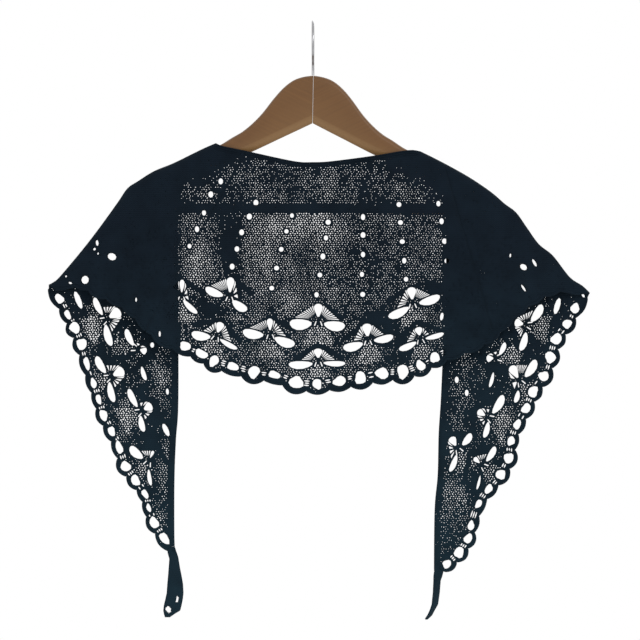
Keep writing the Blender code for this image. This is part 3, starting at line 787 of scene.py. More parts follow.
@dataclass
class Hem:
    """A scalloped hem along a line of holes, one scallop to a hole.

    Args:
        start: Where its line starts, as (x, z).
        stop: Where its line ends.
        row: Its holes.
        rim: Width of the cloth beyond a hole.
        dip: Distance from the line to the notch between scallops.
    """

    start: tuple[float, float]
    stop: tuple[float, float]
    row: tuple[HemHole, ...]
    rim: float
    dip: float

    SLIT_OFFSETS = (-0.0034, -0.0008, 0.0018)
    SLIT_HALF = 0.0008
    SLIT_STRAY = 0.0005
    SLIT_ROOM = 0.0040

    def __post_init__(self) -> None:
        """Works out the hem's line, and the place of each hole along it."""
        centres = [(hole.x, hole.z) for hole in self.row]
        self.line = smooth_line((self.start, *centres, self.stop), 0.002)
        steps = np.linalg.norm(np.diff(self.line, axis=0), axis=1)
        self.along = np.concatenate([[0.0], np.cumsum(steps)])
        nearest = [int(np.argmin(np.linalg.norm(self.line - np.array(c), axis=1))) for c in centres]
        self.places = self.along[nearest]
        middles = (self.places[1:] + self.places[:-1]) / 2
        self.ends = np.concatenate([[0.0], middles, self.along[-1:]])

    def at(self, distance: np.ndarray) -> tuple[np.ndarray, np.ndarray]:
        """Points at distances along the line.

        Args:
            distance: Distances from the line's start.

        Returns:
            The points, and the outward direction at each.
        """
        def point(d: np.ndarray) -> np.ndarray:
            """Places on the line at distances along it."""
            return np.stack([np.interp(d, self.along, self.line[:, k]) for k in (0, 1)], axis=-1)

        ahead = point(distance + 0.002) - point(distance - 0.002)
        ahead /= np.linalg.norm(ahead, axis=-1, keepdims=True)
        return point(distance), np.stack([ahead[..., 1], -ahead[..., 0]], axis=-1)

    def edge(self, inset: float, samples: int) -> np.ndarray:
        """The scalloped outline.

        Args:
            inset: How far inside the outline the result lies.
            samples: Points for each scallop.

        Returns:
            The outline's points.
        """
        phase = np.arange(samples) / samples
        bulge = np.sin(np.pi * phase) ** 0.9
        where = []
        out = []
        for hole, start, stop in zip(self.row, self.ends, self.ends[1:]):
            where.append(start + (stop - start) * phase)
            out.append(self.dip + (hole.across + self.rim - self.dip) * bulge)
        where.append(self.along[-1:])
        out.append(np.array([self.dip]))
        points, outward = self.at(np.concatenate(where))
        return points + outward * (np.concatenate(out) - inset)[:, None]

    def loop(self, distance: float, offset: float, long: float, wide: float,
             uneven: np.ndarray) -> np.ndarray:
        """A rounded outline along the hem.

        Args:
            distance: Its place along the hem's line.
            offset: How far outside the line it lies.
            long: Half its length along the hem.
            wide: Half its width.
            uneven: Its radius at each corner, against a plain oval's.

        Returns:
            The outline.
        """
        place, outward = self.at(np.array(distance))
        along = np.array([-outward[1], outward[0]])
        angle = math.tau * (np.arange(len(uneven)) + 0.5) / len(uneven)
        return (
            place + offset * outward
            + np.outer(np.cos(angle) * uneven * long, along)
            + np.outer(np.sin(angle) * uneven * wide, outward)
        )

    def holes(self, rng: np.random.Generator) -> list[np.ndarray]:
        """Outlines of the hem's holes."""
        angle = math.tau * (np.arange(12) + 0.5) / 12
        loops = []
        for hole, distance in zip(self.row, self.places):
            two, three, four = rng.uniform(0.0, math.tau, 3)
            uneven = 1 + 0.07 * np.sin(2 * angle + two) + 0.09 * np.sin(3 * angle + three)
            uneven += 0.06 * np.sin(4 * angle + four)
            loops.append(self.loop(distance, 0.0, hole.along, hole.across, uneven))
        return loops

    def slits(self, rng: np.random.Generator) -> list[np.ndarray]:
        """Outlines of the narrow slits between the holes."""
        loops = []
        for i, middle in enumerate(self.ends[1:-1]):
            room = self.places[i + 1] - self.places[i] - self.row[i].along - self.row[i + 1].along
            if room < self.SLIT_ROOM:
                continue
            for offset in self.SLIT_OFFSETS:
                if rng.uniform() < 0.7:
                    long, wide = 0.26 * room * rng.uniform(0.8, 1.2), self.SLIT_HALF
                    place = middle + rng.uniform(-self.SLIT_STRAY, self.SLIT_STRAY)
                    loops.append(self.loop(place, offset, long, wide, np.ones(6)))
        return loops

    def above(self, points: np.ndarray, room: float) -> np.ndarray:
        """Which points are higher than the hem's line."""
        line = self.line[np.argsort(self.line[:, 0])]
        return points[:, 1] > np.interp(points[:, 0], line[:, 0], line[:, 1]) + room


@dataclass
class LaceChart:
    """The lace pattern of the front and of the two ends."""

    fan: tuple[float, float] = (0.0726, 0.1166)
    seams: tuple[float, float] = (-0.5635, 0.2905)
    front_motifs: tuple = (
        Motif(-0.1559, -0.3231, Gap(-40, 0.0214, 0.0071), Gap(-42, 0.0238, 0.0065),
              Gap(-2, 0.0155, 0.0060), (4, 3)),
        Motif(-0.0988, -0.3231, Gap(-26, 0.0238, 0.0095), Gap(-30, 0.0214, 0.0101),
              Gap(-3, 0.0184, 0.0093), (8, 3)),
        Motif(-0.1140, -0.3704, Gap(-14, 0.0238, 0.0107), Gap(-28, 0.0245, 0.0060),
              Gap(-20, 0.0131, 0.0099), (5, 6)),
        Motif(-0.0508, -0.3679, Gap(-13, 0.0262, 0.0113), Gap(-15, 0.0262, 0.0113),
              Gap(2, 0.0143, 0.0077), (8, 6)),
        Motif(0.0063, -0.3522, Gap(-4, 0.0274, 0.0131), Gap(-3, 0.0262, 0.0119),
              Gap(0, 0.0161, 0.0107), (9, 8)),
        Motif(0.0063, -0.4006, Gap(0, 0.0298, 0.0095), Gap(0, 0.0274, 0.0065),
              Gap(2, 0.0113, 0.0105), (6, 6)),
        Motif(0.0650, -0.3752, Gap(10, 0.0250, 0.0107), Gap(15, 0.0246, 0.0089),
              Gap(4, 0.0155, 0.0119), (5, 6)),
        Motif(0.1179, -0.3314, Gap(23, 0.0278, 0.0101), Gap(21, 0.0274, 0.0101),
              Gap(4, 0.0149, 0.0111), (6, 7)),
        Motif(0.1269, -0.3738, Gap(21, 0.0233, 0.0077), Gap(17, 0.0238, 0.0060),
              Gap(10, 0.0101, 0.0095), (5, 3)),
    )
    left_motifs: tuple = (
        Motif(-0.2451, -0.3514, Gap(-67, 0.0238, 0.0075), Gap(-73, 0.0274, 0.0089),
              Gap(-59, 0.0155, 0.0137), (4, 5)),
        Motif(-0.2084, -0.3881, Gap(-68, 0.0226, 0.0075), Gap(-70.5, 0.0179, 0.0054, 0.0155),
              Gap(-108, 0.0083, 0.0083), (2, 0)),
        Motif(-0.2404, -0.4203, Gap(-63, 0.0238, 0.0087), Gap(-75, 0.0256, 0.0081),
              Gap(-64, 0.0143, 0.0131), (4, 4)),
        Motif(-0.2035, -0.4611, Gap(-66, 0.0250, 0.0075), Gap(-76, 0.0202, 0.0071),
              Gap(-62, 0.0107, 0.0113), (2, 3)),
        Motif(-0.1952, -0.5200, Gap(-47, 0.0214, 0.0101), Gap(-80, 0.0202, 0.0048, 0.0060),
              Gap(-24, 0.0095, 0.0038), (4, 0)),
    )
    right_motifs: tuple = (
        Motif(0.2529, -0.3587, Gap(71, 0.0238, 0.0081, 0.0024), Gap(60, 0.0250, 0.0098),
              Gap(78, 0.0107, 0.0101), (4, 6)),
        Motif(0.2172, -0.3987, Gap(74, 0.0190, 0.0042, 0.0119), Gap(68, 0.0167, 0.0060),
              Gap(95, 0.0083, 0.0083), (0, 2)),
        Motif(0.2454, -0.4245, Gap(72, 0.0155, 0.0060, 0.0071), Gap(60, 0.0250, 0.0101),
              Gap(29, 0.0167, 0.0107), (2, 6)),
        Motif(0.2072, -0.4684, Gap(73, 0.0202, 0.0068), Gap(62, 0.0262, 0.0095),
              Gap(59, 0.0107, 0.0083), (3, 2)),
        Motif(0.1714, -0.5052, Gap(66, 0.0226, 0.0065, 0.0024), Gap(56, 0.0179, 0.0083),
              Gap(30, 0.0119, 0.0095), (4, 0)),
        Motif(0.2005, -0.5254, Gap(75, 0.0179, 0.0033, 0.0083), Gap(61, 0.0214, 0.0075),
              Gap(48, 0.0095, 0.0060), (0, 4)),
    )
    eyelets: tuple = (
        (-0.1295, -0.2261), (-0.1378, -0.2455), (-0.1466, -0.2657), (-0.1214, -0.2042),
        (-0.1096, -0.1887), (-0.0847, -0.2493), (-0.0903, -0.2691), (-0.0960, -0.2900),
        (-0.0756, -0.2306), (-0.0678, -0.2141), (-0.0250, -0.2294), (-0.0315, -0.2481),
        (-0.0377, -0.2695), (-0.0432, -0.2918), (-0.0490, -0.3156), (0.0180, -0.2372),
        (0.0154, -0.2559), (0.0117, -0.2779), (0.0081, -0.2999), (0.0042, -0.3234), (0.0594, -0.2312),
        (0.0594, -0.2525), (0.0594, -0.2757), (0.0581, -0.2992), (0.0590, -0.3230), (0.1021, -0.2162),
        (0.1039, -0.2376), (0.1060, -0.2603), (0.1083, -0.2830), (0.1104, -0.3050), (0.1490, -0.2152),
        (0.1527, -0.2361), (0.1562, -0.2598), (0.1589, -0.2832),
    )
    front_ovals: tuple = each(Oval, (
        (0.1529, -0.3493, 0.0021, 0.0048, -10),
    ))
    left_ovals: tuple = each(Oval, (
        (-0.2798, -0.3296, 0.0033, 0.0111, 21.5), (-0.1755, -0.4846, 0.0031, 0.0083, 25),
        (-0.1737, -0.4388, 0.0019, 0.0038, 5),
    ))
    right_ovals: tuple = each(Oval, (
        (0.2911, -0.3368, 0.0033, 0.0101, -16), (0.1880, -0.3772, 0.0017, 0.0038, 0),
        (0.1714, -0.4248, 0.0024, 0.0039, 0), (0.1833, -0.4403, 0.0023, 0.0039, 0),
    ))
    left_through: tuple = each(Oval, (
        (-0.2568, -0.2617, 0.0020, 0.0037, 10), (-0.2599, -0.2691, 0.0019, 0.0017, 0),
        (-0.2557, -0.2744, 0.0013, 0.0015, 0), (-0.2392, -0.2781, 0.0058, 0.0043, -20),
        (-0.2711, -0.3057, 0.0048, 0.0050, 0), (-0.2887, -0.3094, 0.0024, 0.0012, -15),
        (-0.2939, -0.3014, 0.0014, 0.0013, 0), (-0.2105, -0.3292, 0.0017, 0.0029, 0),
        (-0.1824, -0.3700, 0.0018, 0.0037, 0), (-0.1919, -0.3833, 0.0023, 0.0032, 0),
    ))
    right_through: tuple = each(Oval, (
        (0.2504, -0.2905, 0.0048, 0.0037, -25), (0.2635, -0.2855, 0.0021, 0.0052, 30),
        (0.2504, -0.3155, 0.0018, 0.0052, 35), (0.2347, -0.2767, 0.0014, 0.0026, -15),
        (0.3218, -0.3243, 0.0014, 0.0026, 35),
    ))
    front_patches: tuple = each(Patch, (
        (-0.0988, -0.1726, 0.0262, 0.0167, 0.35), (-0.1440, -0.1987, 0.0143, 0.0143, 0.3),
        (-0.0607, -0.2083, 0.0262, 0.0119, 0.15), (0.0179, -0.1928, 0.0167, 0.0262, 0.22),
        (0.1214, -0.1916, 0.0286, 0.0155, 0.28), (-0.0155, -0.2392, 0.0381, 0.0167, 0.62),
        (-0.0607, -0.2773, 0.0214, 0.0476, 0.4), (-0.1368, -0.2868, 0.0167, 0.0286, 0.5),
        (-0.1440, -0.2404, 0.0167, 0.0167, 0.1), (0.0202, -0.2535, 0.0179, 0.0179, 0.25),
        (0.0976, -0.2404, 0.0238, 0.0143, 0.1), (0.1333, -0.2844, 0.0179, 0.0357, 0.1),
        (-0.0988, -0.2678, 0.0143, 0.0452, -0.6), (0.0655, -0.2844, 0.0357, 0.0333, -0.14),
        (-0.1047, -0.3427, 0.0262, 0.0095, -0.9), (0.0756, -0.3511, 0.0155, 0.0095, -0.8),
        (0.1440, -0.3142, 0.0143, 0.0083, -0.8), (0.1012, -0.3998, 0.0179, 0.0071, -0.5),
        (-0.0893, -0.3106, 0.0095, 0.0119, -0.6), (-0.0214, -0.3296, 0.0119, 0.0143, 0.45),
        (0.0500, -0.3832, 0.0119, 0.0119, -0.2), (-0.0250, -0.4153, 0.0190, 0.0095, 0.2),
        (-0.1321, -0.3296, 0.0119, 0.0095, -0.3), (-0.0690, -0.3439, 0.0119, 0.0119, 0.3),
        (0.0976, -0.3594, 0.0119, 0.0119, -0.35), (0.1000, -0.3800, 0.0300, 0.0130, -0.3),
        (0.0060, -0.2950, 0.0300, 0.0400, 0.1), (0.1130, -0.2600, 0.0300, 0.0400, -0.1),
    ))
    left_patches: tuple = each(Patch, (
        (-0.1809, -0.4236, 0.0155, 0.0202, 0.6), (-0.2249, -0.4546, 0.0083, 0.0190, 0.5),
        (-0.1749, -0.5177, 0.0071, 0.0167, 0.5), (-0.2225, -0.4891, 0.0095, 0.0071, 0.4),
        (-0.1821, -0.5902, 0.0060, 0.0083, 0.5), (-0.1785, -0.5522, 0.0071, 0.0214, 0.3),
        (-0.2630, -0.3630, 0.0107, 0.0238, 0.38), (-0.1761, -0.3713, 0.0167, 0.0214, 0.12),
        (-0.1940, -0.4225, 0.0071, 0.0167, -0.3), (-0.1940, -0.4962, 0.0119, 0.0167, -0.4),
        (-0.1987, -0.5593, 0.0095, 0.0143, -0.4), (-0.2356, -0.3915, 0.0095, 0.0071, -0.4),
    ))
    right_patches: tuple = each(Patch, (
        (0.1666, -0.5641, 0.0202, 0.0214, 0.55), (0.1868, -0.3891, 0.0262, 0.0309, 0.12),
        (0.1773, -0.4427, 0.0190, 0.0309, 0.12), (0.2285, -0.4629, 0.0095, 0.0119, 0.45),
        (0.2261, -0.4962, 0.0048, 0.0071, 0.4), (0.1607, -0.6057, 0.0095, 0.0190, 0.2),
        (0.1964, -0.5557, 0.0119, 0.0143, -0.5), (0.2225, -0.4106, 0.0119, 0.0071, -0.4),
        (0.2642, -0.3832, 0.0119, 0.0214, -0.15), (0.1987, -0.4427, 0.0071, 0.0071, -0.3),
    ))
    through_patches: tuple = each(Patch, (
        (-0.2110, -0.2600, 0.0083, 0.0054, 0.5), (-0.1773, -0.2808, 0.0060, 0.0054, 0.5),
        (-0.2041, -0.2963, 0.0042, 0.0042, 0.5), (-0.2303, -0.3070, 0.0048, 0.0030, 0.7),
        (-0.2011, -0.3158, 0.0018, 0.0018, 0.9), (-0.1916, -0.3031, 0.0024, 0.0024, 0.5),
        (-0.1956, -0.2487, 0.0018, 0.0048, 0.55), (-0.1892, -0.3415, 0.0048, 0.0036, 0.45),
        (-0.2285, -0.3284, 0.0048, 0.0036, 0.45), (-0.1630, -0.2642, 0.0036, 0.0357, 0.3),
        (0.2148, -0.2725, 0.0060, 0.0048, 0.5), (0.2005, -0.2981, 0.0065, 0.0054, 0.7),
        (0.2249, -0.2820, 0.0048, 0.0048, 0.45), (0.1910, -0.3320, 0.0083, 0.0060, 0.5),
        (0.2190, -0.3339, 0.0024, 0.0036, 0.5), (0.2094, -0.3677, 0.0036, 0.0036, 0.45),
        (0.2663, -0.2711, 0.0024, 0.0024, 0.55), (0.2892, -0.2856, 0.0036, 0.0024, 0.5),
    ))
    eyelet_size: tuple[float, float] = (0.0029, 0.0034)
    front_hem: Hem = field(default_factory=lambda: Hem((-0.3082, -0.3106), (0.3201, -0.3159), each(HemHole, (
        (-0.2939, -0.3064, 0.0060, 0.0042), (-0.2725, -0.3064, 0.0060, 0.0048),
        (-0.2535, -0.3159, 0.0065, 0.0054), (-0.2321, -0.3255, 0.0060, 0.0048),
        (-0.2130, -0.3374, 0.0065, 0.0054), (-0.1964, -0.3546, 0.0060, 0.0048),
        (-0.1749, -0.3737, 0.0071, 0.0054), (-0.1516, -0.3844, 0.0069, 0.0052),
        (-0.1322, -0.3935, 0.0076, 0.0050), (-0.1176, -0.4020, 0.0055, 0.0069),
        (-0.0951, -0.4086, 0.0076, 0.0044), (-0.0702, -0.4153, 0.0067, 0.0077),
        (-0.0459, -0.4184, 0.0070, 0.0046), (-0.0199, -0.4274, 0.0082, 0.0076),
        (0.0050, -0.4294, 0.0056, 0.0061), (0.0315, -0.4260, 0.0076, 0.0060),
        (0.0563, -0.4221, 0.0069, 0.0074), (0.0820, -0.4167, 0.0079, 0.0067),
        (0.1066, -0.4147, 0.0069, 0.0083), (0.1278, -0.4073, 0.0050, 0.0067),
        (0.1446, -0.3979, 0.0057, 0.0064), (0.1666, -0.3885, 0.0065, 0.0054),
        (0.1892, -0.3802, 0.0060, 0.0048), (0.2083, -0.3689, 0.0065, 0.0054),
        (0.2237, -0.3540, 0.0060, 0.0048), (0.2404, -0.3380, 0.0065, 0.0054),
        (0.2606, -0.3237, 0.0060, 0.0048), (0.2820, -0.3136, 0.0060, 0.0048),
        (0.3023, -0.3106, 0.0060, 0.0042),
    )), 0.0062, 0.008))
    left_hem: Hem = field(default_factory=lambda: Hem((-0.3106, -0.3142), (-0.1696, -0.6253), each(HemHole, (
        (-0.3021, -0.3281, 0.0062, 0.0048), (-0.2924, -0.3471, 0.0058, 0.0035),
        (-0.2841, -0.3626, 0.0067, 0.0063), (-0.2758, -0.3822, 0.0071, 0.0060),
        (-0.2697, -0.4052, 0.0079, 0.0035), (-0.2616, -0.4288, 0.0060, 0.0036),
        (-0.2555, -0.4480, 0.0065, 0.0030), (-0.2497, -0.4670, 0.0074, 0.0043),
        (-0.2401, -0.4861, 0.0062, 0.0040), (-0.2311, -0.5054, 0.0083, 0.0038),
        (-0.2234, -0.5280, 0.0065, 0.0057), (-0.2118, -0.5447, 0.0071, 0.0048),
        (-0.2004, -0.5610, 0.0061, 0.0033), (-0.1960, -0.5775, 0.0055, 0.0024),
        (-0.1896, -0.5952, 0.0077, 0.0048), (-0.1772, -0.6142, 0.0083, 0.0045),
    )), 0.0048, 0.0052))
    right_hem: Hem = field(default_factory=lambda: Hem((0.1535, -0.6444), (0.3225, -0.3249), each(HemHole, (
        (0.1597, -0.6445, 0.0057, 0.0046), (0.1741, -0.6306, 0.0067, 0.0058),
        (0.1850, -0.6139, 0.0064, 0.0045), (0.1884, -0.5985, 0.0060, 0.0038),
        (0.1975, -0.5727, 0.0057, 0.0035), (0.2096, -0.5551, 0.0060, 0.0043),
        (0.2240, -0.5379, 0.0063, 0.0056), (0.2335, -0.5182, 0.0067, 0.0055),
        (0.2362, -0.4977, 0.0060, 0.0042), (0.2435, -0.4779, 0.0060, 0.0044),
        (0.2539, -0.4587, 0.0064, 0.0050), (0.2623, -0.4389, 0.0067, 0.0060),
        (0.2750, -0.4204, 0.0062, 0.0060), (0.2830, -0.3979, 0.0069, 0.0064),
        (0.2902, -0.3760, 0.0069, 0.0063), (0.3030, -0.3581, 0.0060, 0.0050),
        (0.3121, -0.3395, 0.0064, 0.0050),
    )), 0.0048, 0.0052))

    def fan_x(self, slope: float, z: np.ndarray) -> np.ndarray:
        """Place across the shawl of a line of the fan at each height."""
        return self.fan[0] + slope * (self.fan[1] - z)

    def front_gaps(self, rng: np.random.Generator) -> list[np.ndarray]:
        """Outlines of the front layer's gaps above its hem."""
        loops = [loop for motif in self.front_motifs for loop in motif.gaps()]
        for x, z in self.eyelets:
            wide, tall = np.array(self.eyelet_size) * rng.uniform(0.82, 1.12, 2)
            loops.append(Oval(x, z, wide, tall).loop())
        ovals = (*self.front_ovals, *self.left_through, *self.right_through)
        return loops + [oval.loop() for oval in ovals]

    def end_gaps(self, side: Side) -> list[np.ndarray]:
        """Outlines of an end's gaps above its hem."""
        if side is Side.LEFT:
            motifs, ovals = self.left_motifs, (*self.left_ovals, *self.left_through)
        else:
            motifs, ovals = self.right_motifs, (*self.right_ovals, *self.right_through)
        return [loop for motif in motifs for loop in motif.gaps()] + [oval.loop() for oval in ovals]


@dataclass
class Knit:
    """The fine mesh of the knitting: small gaps between the stitches, on a slanted lattice.

    Args:
        pitch: Distance between stitches.
        sides: Corners of a gap.
        smallest: Radius of the smallest gap.
        largest: Radius of the largest gap.
        shut: Openness at which a gap closes.
        wide_open: Openness at which a gap is largest.
        jitter: How far a gap strays from its place on the lattice.
        seed: Seed of the unevenness.
    """

    pitch: float = 0.0030
    sides: int = 5
    smallest: float = 0.00036
    largest: float = 0.00114
    shut: float = 0.30
    wide_open: float = 1.50
    jitter: float = 0.0004
    seed: int = 7

    def lattice(self, low: np.ndarray, high: np.ndarray) -> tuple[np.ndarray, np.ndarray]:
        """Places of the stitches in a box.

        Args:
            low: Lowest corner as (x, z).
            high: Highest corner as (x, z).

        Returns:
            The places, and whether each is on every second row and column.
        """
        step = np.array([self.pitch, self.pitch * 0.87])
        first = np.floor(low / step).astype(int) - 1
        last = np.ceil(high / step).astype(int) + 2
        row, column = np.mgrid[first[1]:last[1], first[0]:last[0]]
        x = (column + 0.5 * (row % 2)) * step[0]
        z = row * step[1]
        x = x + self.jitter * np.sin(91.7 * row + 43.1 * column)
        z = z + self.jitter * np.sin(57.3 * row - 71.9 * column + 1.0)
        sparse = (row % 2 == 0) & (column % 2 == 0)
        return np.stack([x.ravel(), z.ravel()], axis=1), sparse.ravel()

    def tone(self, points: np.ndarray) -> np.ndarray:
        """A slow unevenness of the tension, about 0."""
        x, z = points[:, 0], points[:, 1]
        slow = np.sin(151 * x + 60 * z + 1.3) * np.sin(97 * z - 71 * x)
        quick = np.sin(411 * x - 230 * z) * np.sin(389 * z + 170 * x + 0.7)
        return 0.6 * slow + 0.4 * quick


@dataclass
class Panel:
    """One stretch of the shawl, cut flat and hung on the hanger.

    Args:
        name: Name of the piece and of the node that it stands for.
        outline: Outline as (x, z).
        gaps: Outlines of its large gaps.
        motifs: Its motifs.
        patches: Its open and dense patches.
        layer: The layer that it is on.
        borders: Lines beside which the knitting is dense, each with a distance.
        rolls: Folds that it goes over.
        shaded: Hem above which the panel lies behind the front layer.
        through: Patches that are open in both layers where they lie over each other.
        bar_band: Height of the dense band over the bar, and half its width.
        open_front: Openness of the front above the bar and below it.
        open_double: Openness where the front lies over an end.
        open_behind: Openness of the ends.
        single: Stretch of the front that has no end behind it.
        fold_dense: Width of the dense strip at a fold, and of its fade.
        uneven: Spread of the openness from stitch to stitch.
        slow_uneven: Slow change of the openness.
        loose_room: Distance of loose points from an edge.
    """

    name: str
    outline: np.ndarray
    gaps: list[np.ndarray]
    motifs: tuple
    patches: tuple
    layer: Layer
    borders: list[tuple[np.ndarray, float]]
    rolls: tuple[Side, ...]
    shaded: Hem
    through: tuple
    wall: float = 0.0015
    rim: float = 0.0011
    edge_rim: float = 0.0004
    bar_band: tuple[float, float] = (-0.2212, 0.0056)
    open_front: tuple[float, float] = (0.35, 0.48)
    open_double: float = 0.10
    open_behind: float = 0.24
    single: tuple[float, float] = (-0.157, 0.154)
    fold_dense: tuple[float, float] = (0.014, 0.045)
    uneven: float = 0.17
    slow_uneven: float = 0.20
    loose_room: float = 0.0018

    def small_gaps(self, knit: Knit, drape: Drape) -> tuple[list[np.ndarray], np.ndarray]:
        """The mesh's small gaps.

        Args:
            knit: The knitting.
            drape: The shawl's folds.

        Returns:
            The gaps' outlines, and loose points for the dense parts.
        """
        rng = np.random.default_rng(knit.seed + len(self.outline))
        spots, sparse = knit.lattice(self.outline.min(axis=0), self.outline.max(axis=0))
        keep = within(spots, self.outline)
        spots, sparse = spots[keep], sparse[keep]
        at_edge = away_from(spots, np.vstack([self.outline, self.outline[:1]]))
        at_gap = np.full(len(spots), 1.0)
        for gap in self.gaps:
            near = np.linalg.norm(spots - gap.mean(axis=0), axis=1) < 0.030
            distance = away_from(spots[near], np.vstack([gap, gap[:1]]))
            distance[within(spots[near], gap)] = -1.0
            at_gap[near] = np.minimum(at_gap[near], distance)
        size = self.openness(spots, drape) + self.slow_uneven * knit.tone(spots)
        size += rng.normal(0.0, self.uneven, len(spots))
        share = np.clip((size - knit.shut) / (knit.wide_open - knit.shut), 0.0, 1.0)
        radius = knit.smallest + (knit.largest - knit.smallest) * share
        radius = np.minimum(radius, at_edge - self.edge_rim)
        open_here = (size > knit.shut) & (at_gap > radius + self.rim) & (radius > 0.7 * knit.smallest)
        angle = math.tau * np.arange(knit.sides) / knit.sides
        loops = []
        for spot, r in zip(spots[open_here], radius[open_here]):
            at = angle + rng.uniform(0, 1.3)
            squash = rng.uniform(0.8, 1.15)
            loops.append(spot + r * np.stack([np.cos(at) / squash, np.sin(at) * squash], axis=1))
        roomy = (at_gap > self.loose_room) & (at_edge > self.loose_room)
        loose = spots[~open_here & sparse & roomy]
        return loops, loose

    def openness(self, spots: np.ndarray, drape: Drape) -> np.ndarray:
        """How open the knitting is at each place, from 0 to about 1.5."""
        x, z = spots[:, 0], spots[:, 1]
        if self.layer is Layer.FRONT:
            value = np.where(z > self.bar_band[0], *self.open_front)
            double = (x < self.single[0]) | (x > self.single[1])
            value = np.where(double, self.open_double, value)
        else:
            value = np.full(len(spots), self.open_behind)
        for part in (*self.motifs, *self.patches):
            value += part.openness(spots) if isinstance(part, Motif) else part.amount(spots)
        strip, fade = self.fold_dense
        value *= ease((drape.from_fold(spots) - strip) / fade)
        for line, reach in self.borders:
            value *= away_from(spots, line) > reach
        if self.layer is Layer.FRONT:
            value *= np.abs(z - self.bar_band[0]) > self.bar_band[1]
        else:
            value *= ~self.shaded.above(spots, -0.004)
        for patch in self.through:
            value += patch.amount(spots)
        return value

    def build(self, knit: Knit, drape: Drape, finish: bpy.types.Material) -> bpy.types.Object:
        """Makes the panel.

        Args:
            knit: The knitting.
            drape: The shawl's folds.
            finish: Its material.

        Returns:
            The panel.
        """
        small, loose = self.small_gaps(knit, drape)
        points: list[np.ndarray] = []
        faces: list[list[int]] = []
        edges: list[tuple[int, int]] = []
        total = 0
        for loop in (self.outline, *self.gaps, *small):
            points.append(leftward(loop))
            faces.append(list(range(total, total + len(loop))))
            total += len(loop)
        for side in self.rolls:
            for row in drape.rows(side):
                inside = within(row, self.outline)
                for i in np.nonzero(inside[:-1] & inside[1:])[0]:
                    points.append(row[i:i + 2])
                    edges.append((total, total + 1))
                    total += 2
        points.append(loose)
        flat = np.vstack(points)
        made = delaunay_2d_cdt([Vector(p) for p in flat], edges, faces, 0, 1e-7)
        corners = np.array([tuple(p) for p in made[0]])
        cloth = [f for f, owners in zip(made[2], made[5]) if list(owners) == [0]]
        depth = drape.depth(corners, self.layer)
        solid = np.stack([corners[:, 0], depth, corners[:, 1]], axis=1)
        piece = add_mesh(self.name, solid, cloth, finish)
        wall = piece.modifiers.new("wall", "SOLIDIFY")
        wall.thickness = self.wall
        wall.offset = 0.0
        bake_modifiers(piece)
        LOG.info("%s: %d small gaps, %d faces", self.name, len(small), len(piece.data.polygons))
        return piece

    def area(self, drape: Drape) -> float:
        """Area of the panel's cut, gaps and folds counted in."""
        x, z = self.outline[:, 0], self.outline[:, 1]
        flat = abs(float(np.sum(x * np.roll(z, -1) - z * np.roll(x, -1)))) / 2
        rolled = sum(self.fold_length(drape.folds[side]) for side in self.rolls)
        return flat + rolled * 0.57 * drape.roll

    def fold_length(self, fold: np.ndarray) -> float:
        """Length of the part of a fold that the panel's outline touches."""
        middle = (fold[1:] + fold[:-1]) / 2
        on = away_from(middle, np.vstack([self.outline, self.outline[:1]])) < 0.001
        return float(np.linalg.norm(np.diff(fold, axis=0), axis=1)[on].sum())


def add_mesh(name: str, points: np.ndarray, faces: list, finish: bpy.types.Material) -> bpy.types.Object:
    """A new mesh object with a material, shaded smooth.

    Args:
        name: Its name.
        points: Its corners.
        faces: Its faces, as lists of corners.
        finish: Its material.

    Returns:
        The object.
    """
    mesh = bpy.data.meshes.new(name + "_mesh")
    mesh.from_pydata([tuple(p) for p in points], [], faces)
    loose = bmesh.new()
    loose.from_mesh(mesh)
    bmesh.ops.delete(loose, geom=[v for v in loose.verts if not v.link_faces], context="VERTS")
    loose.to_mesh(mesh)
    loose.free()
    mesh.shade_smooth()
    mesh.materials.append(finish)
    piece = bpy.data.objects.new(name + "_cloth", mesh)
    bpy.context.scene.collection.objects.link(piece)
    return piece


def bake_modifiers(piece: bpy.types.Object) -> None:
    """Turns a piece's modifiers into plain mesh."""
    graph = bpy.context.evaluated_depsgraph_get()
    mesh = bpy.data.meshes.new_from_object(piece.evaluated_get(graph))
    piece.modifiers.clear()
    piece.data = mesh


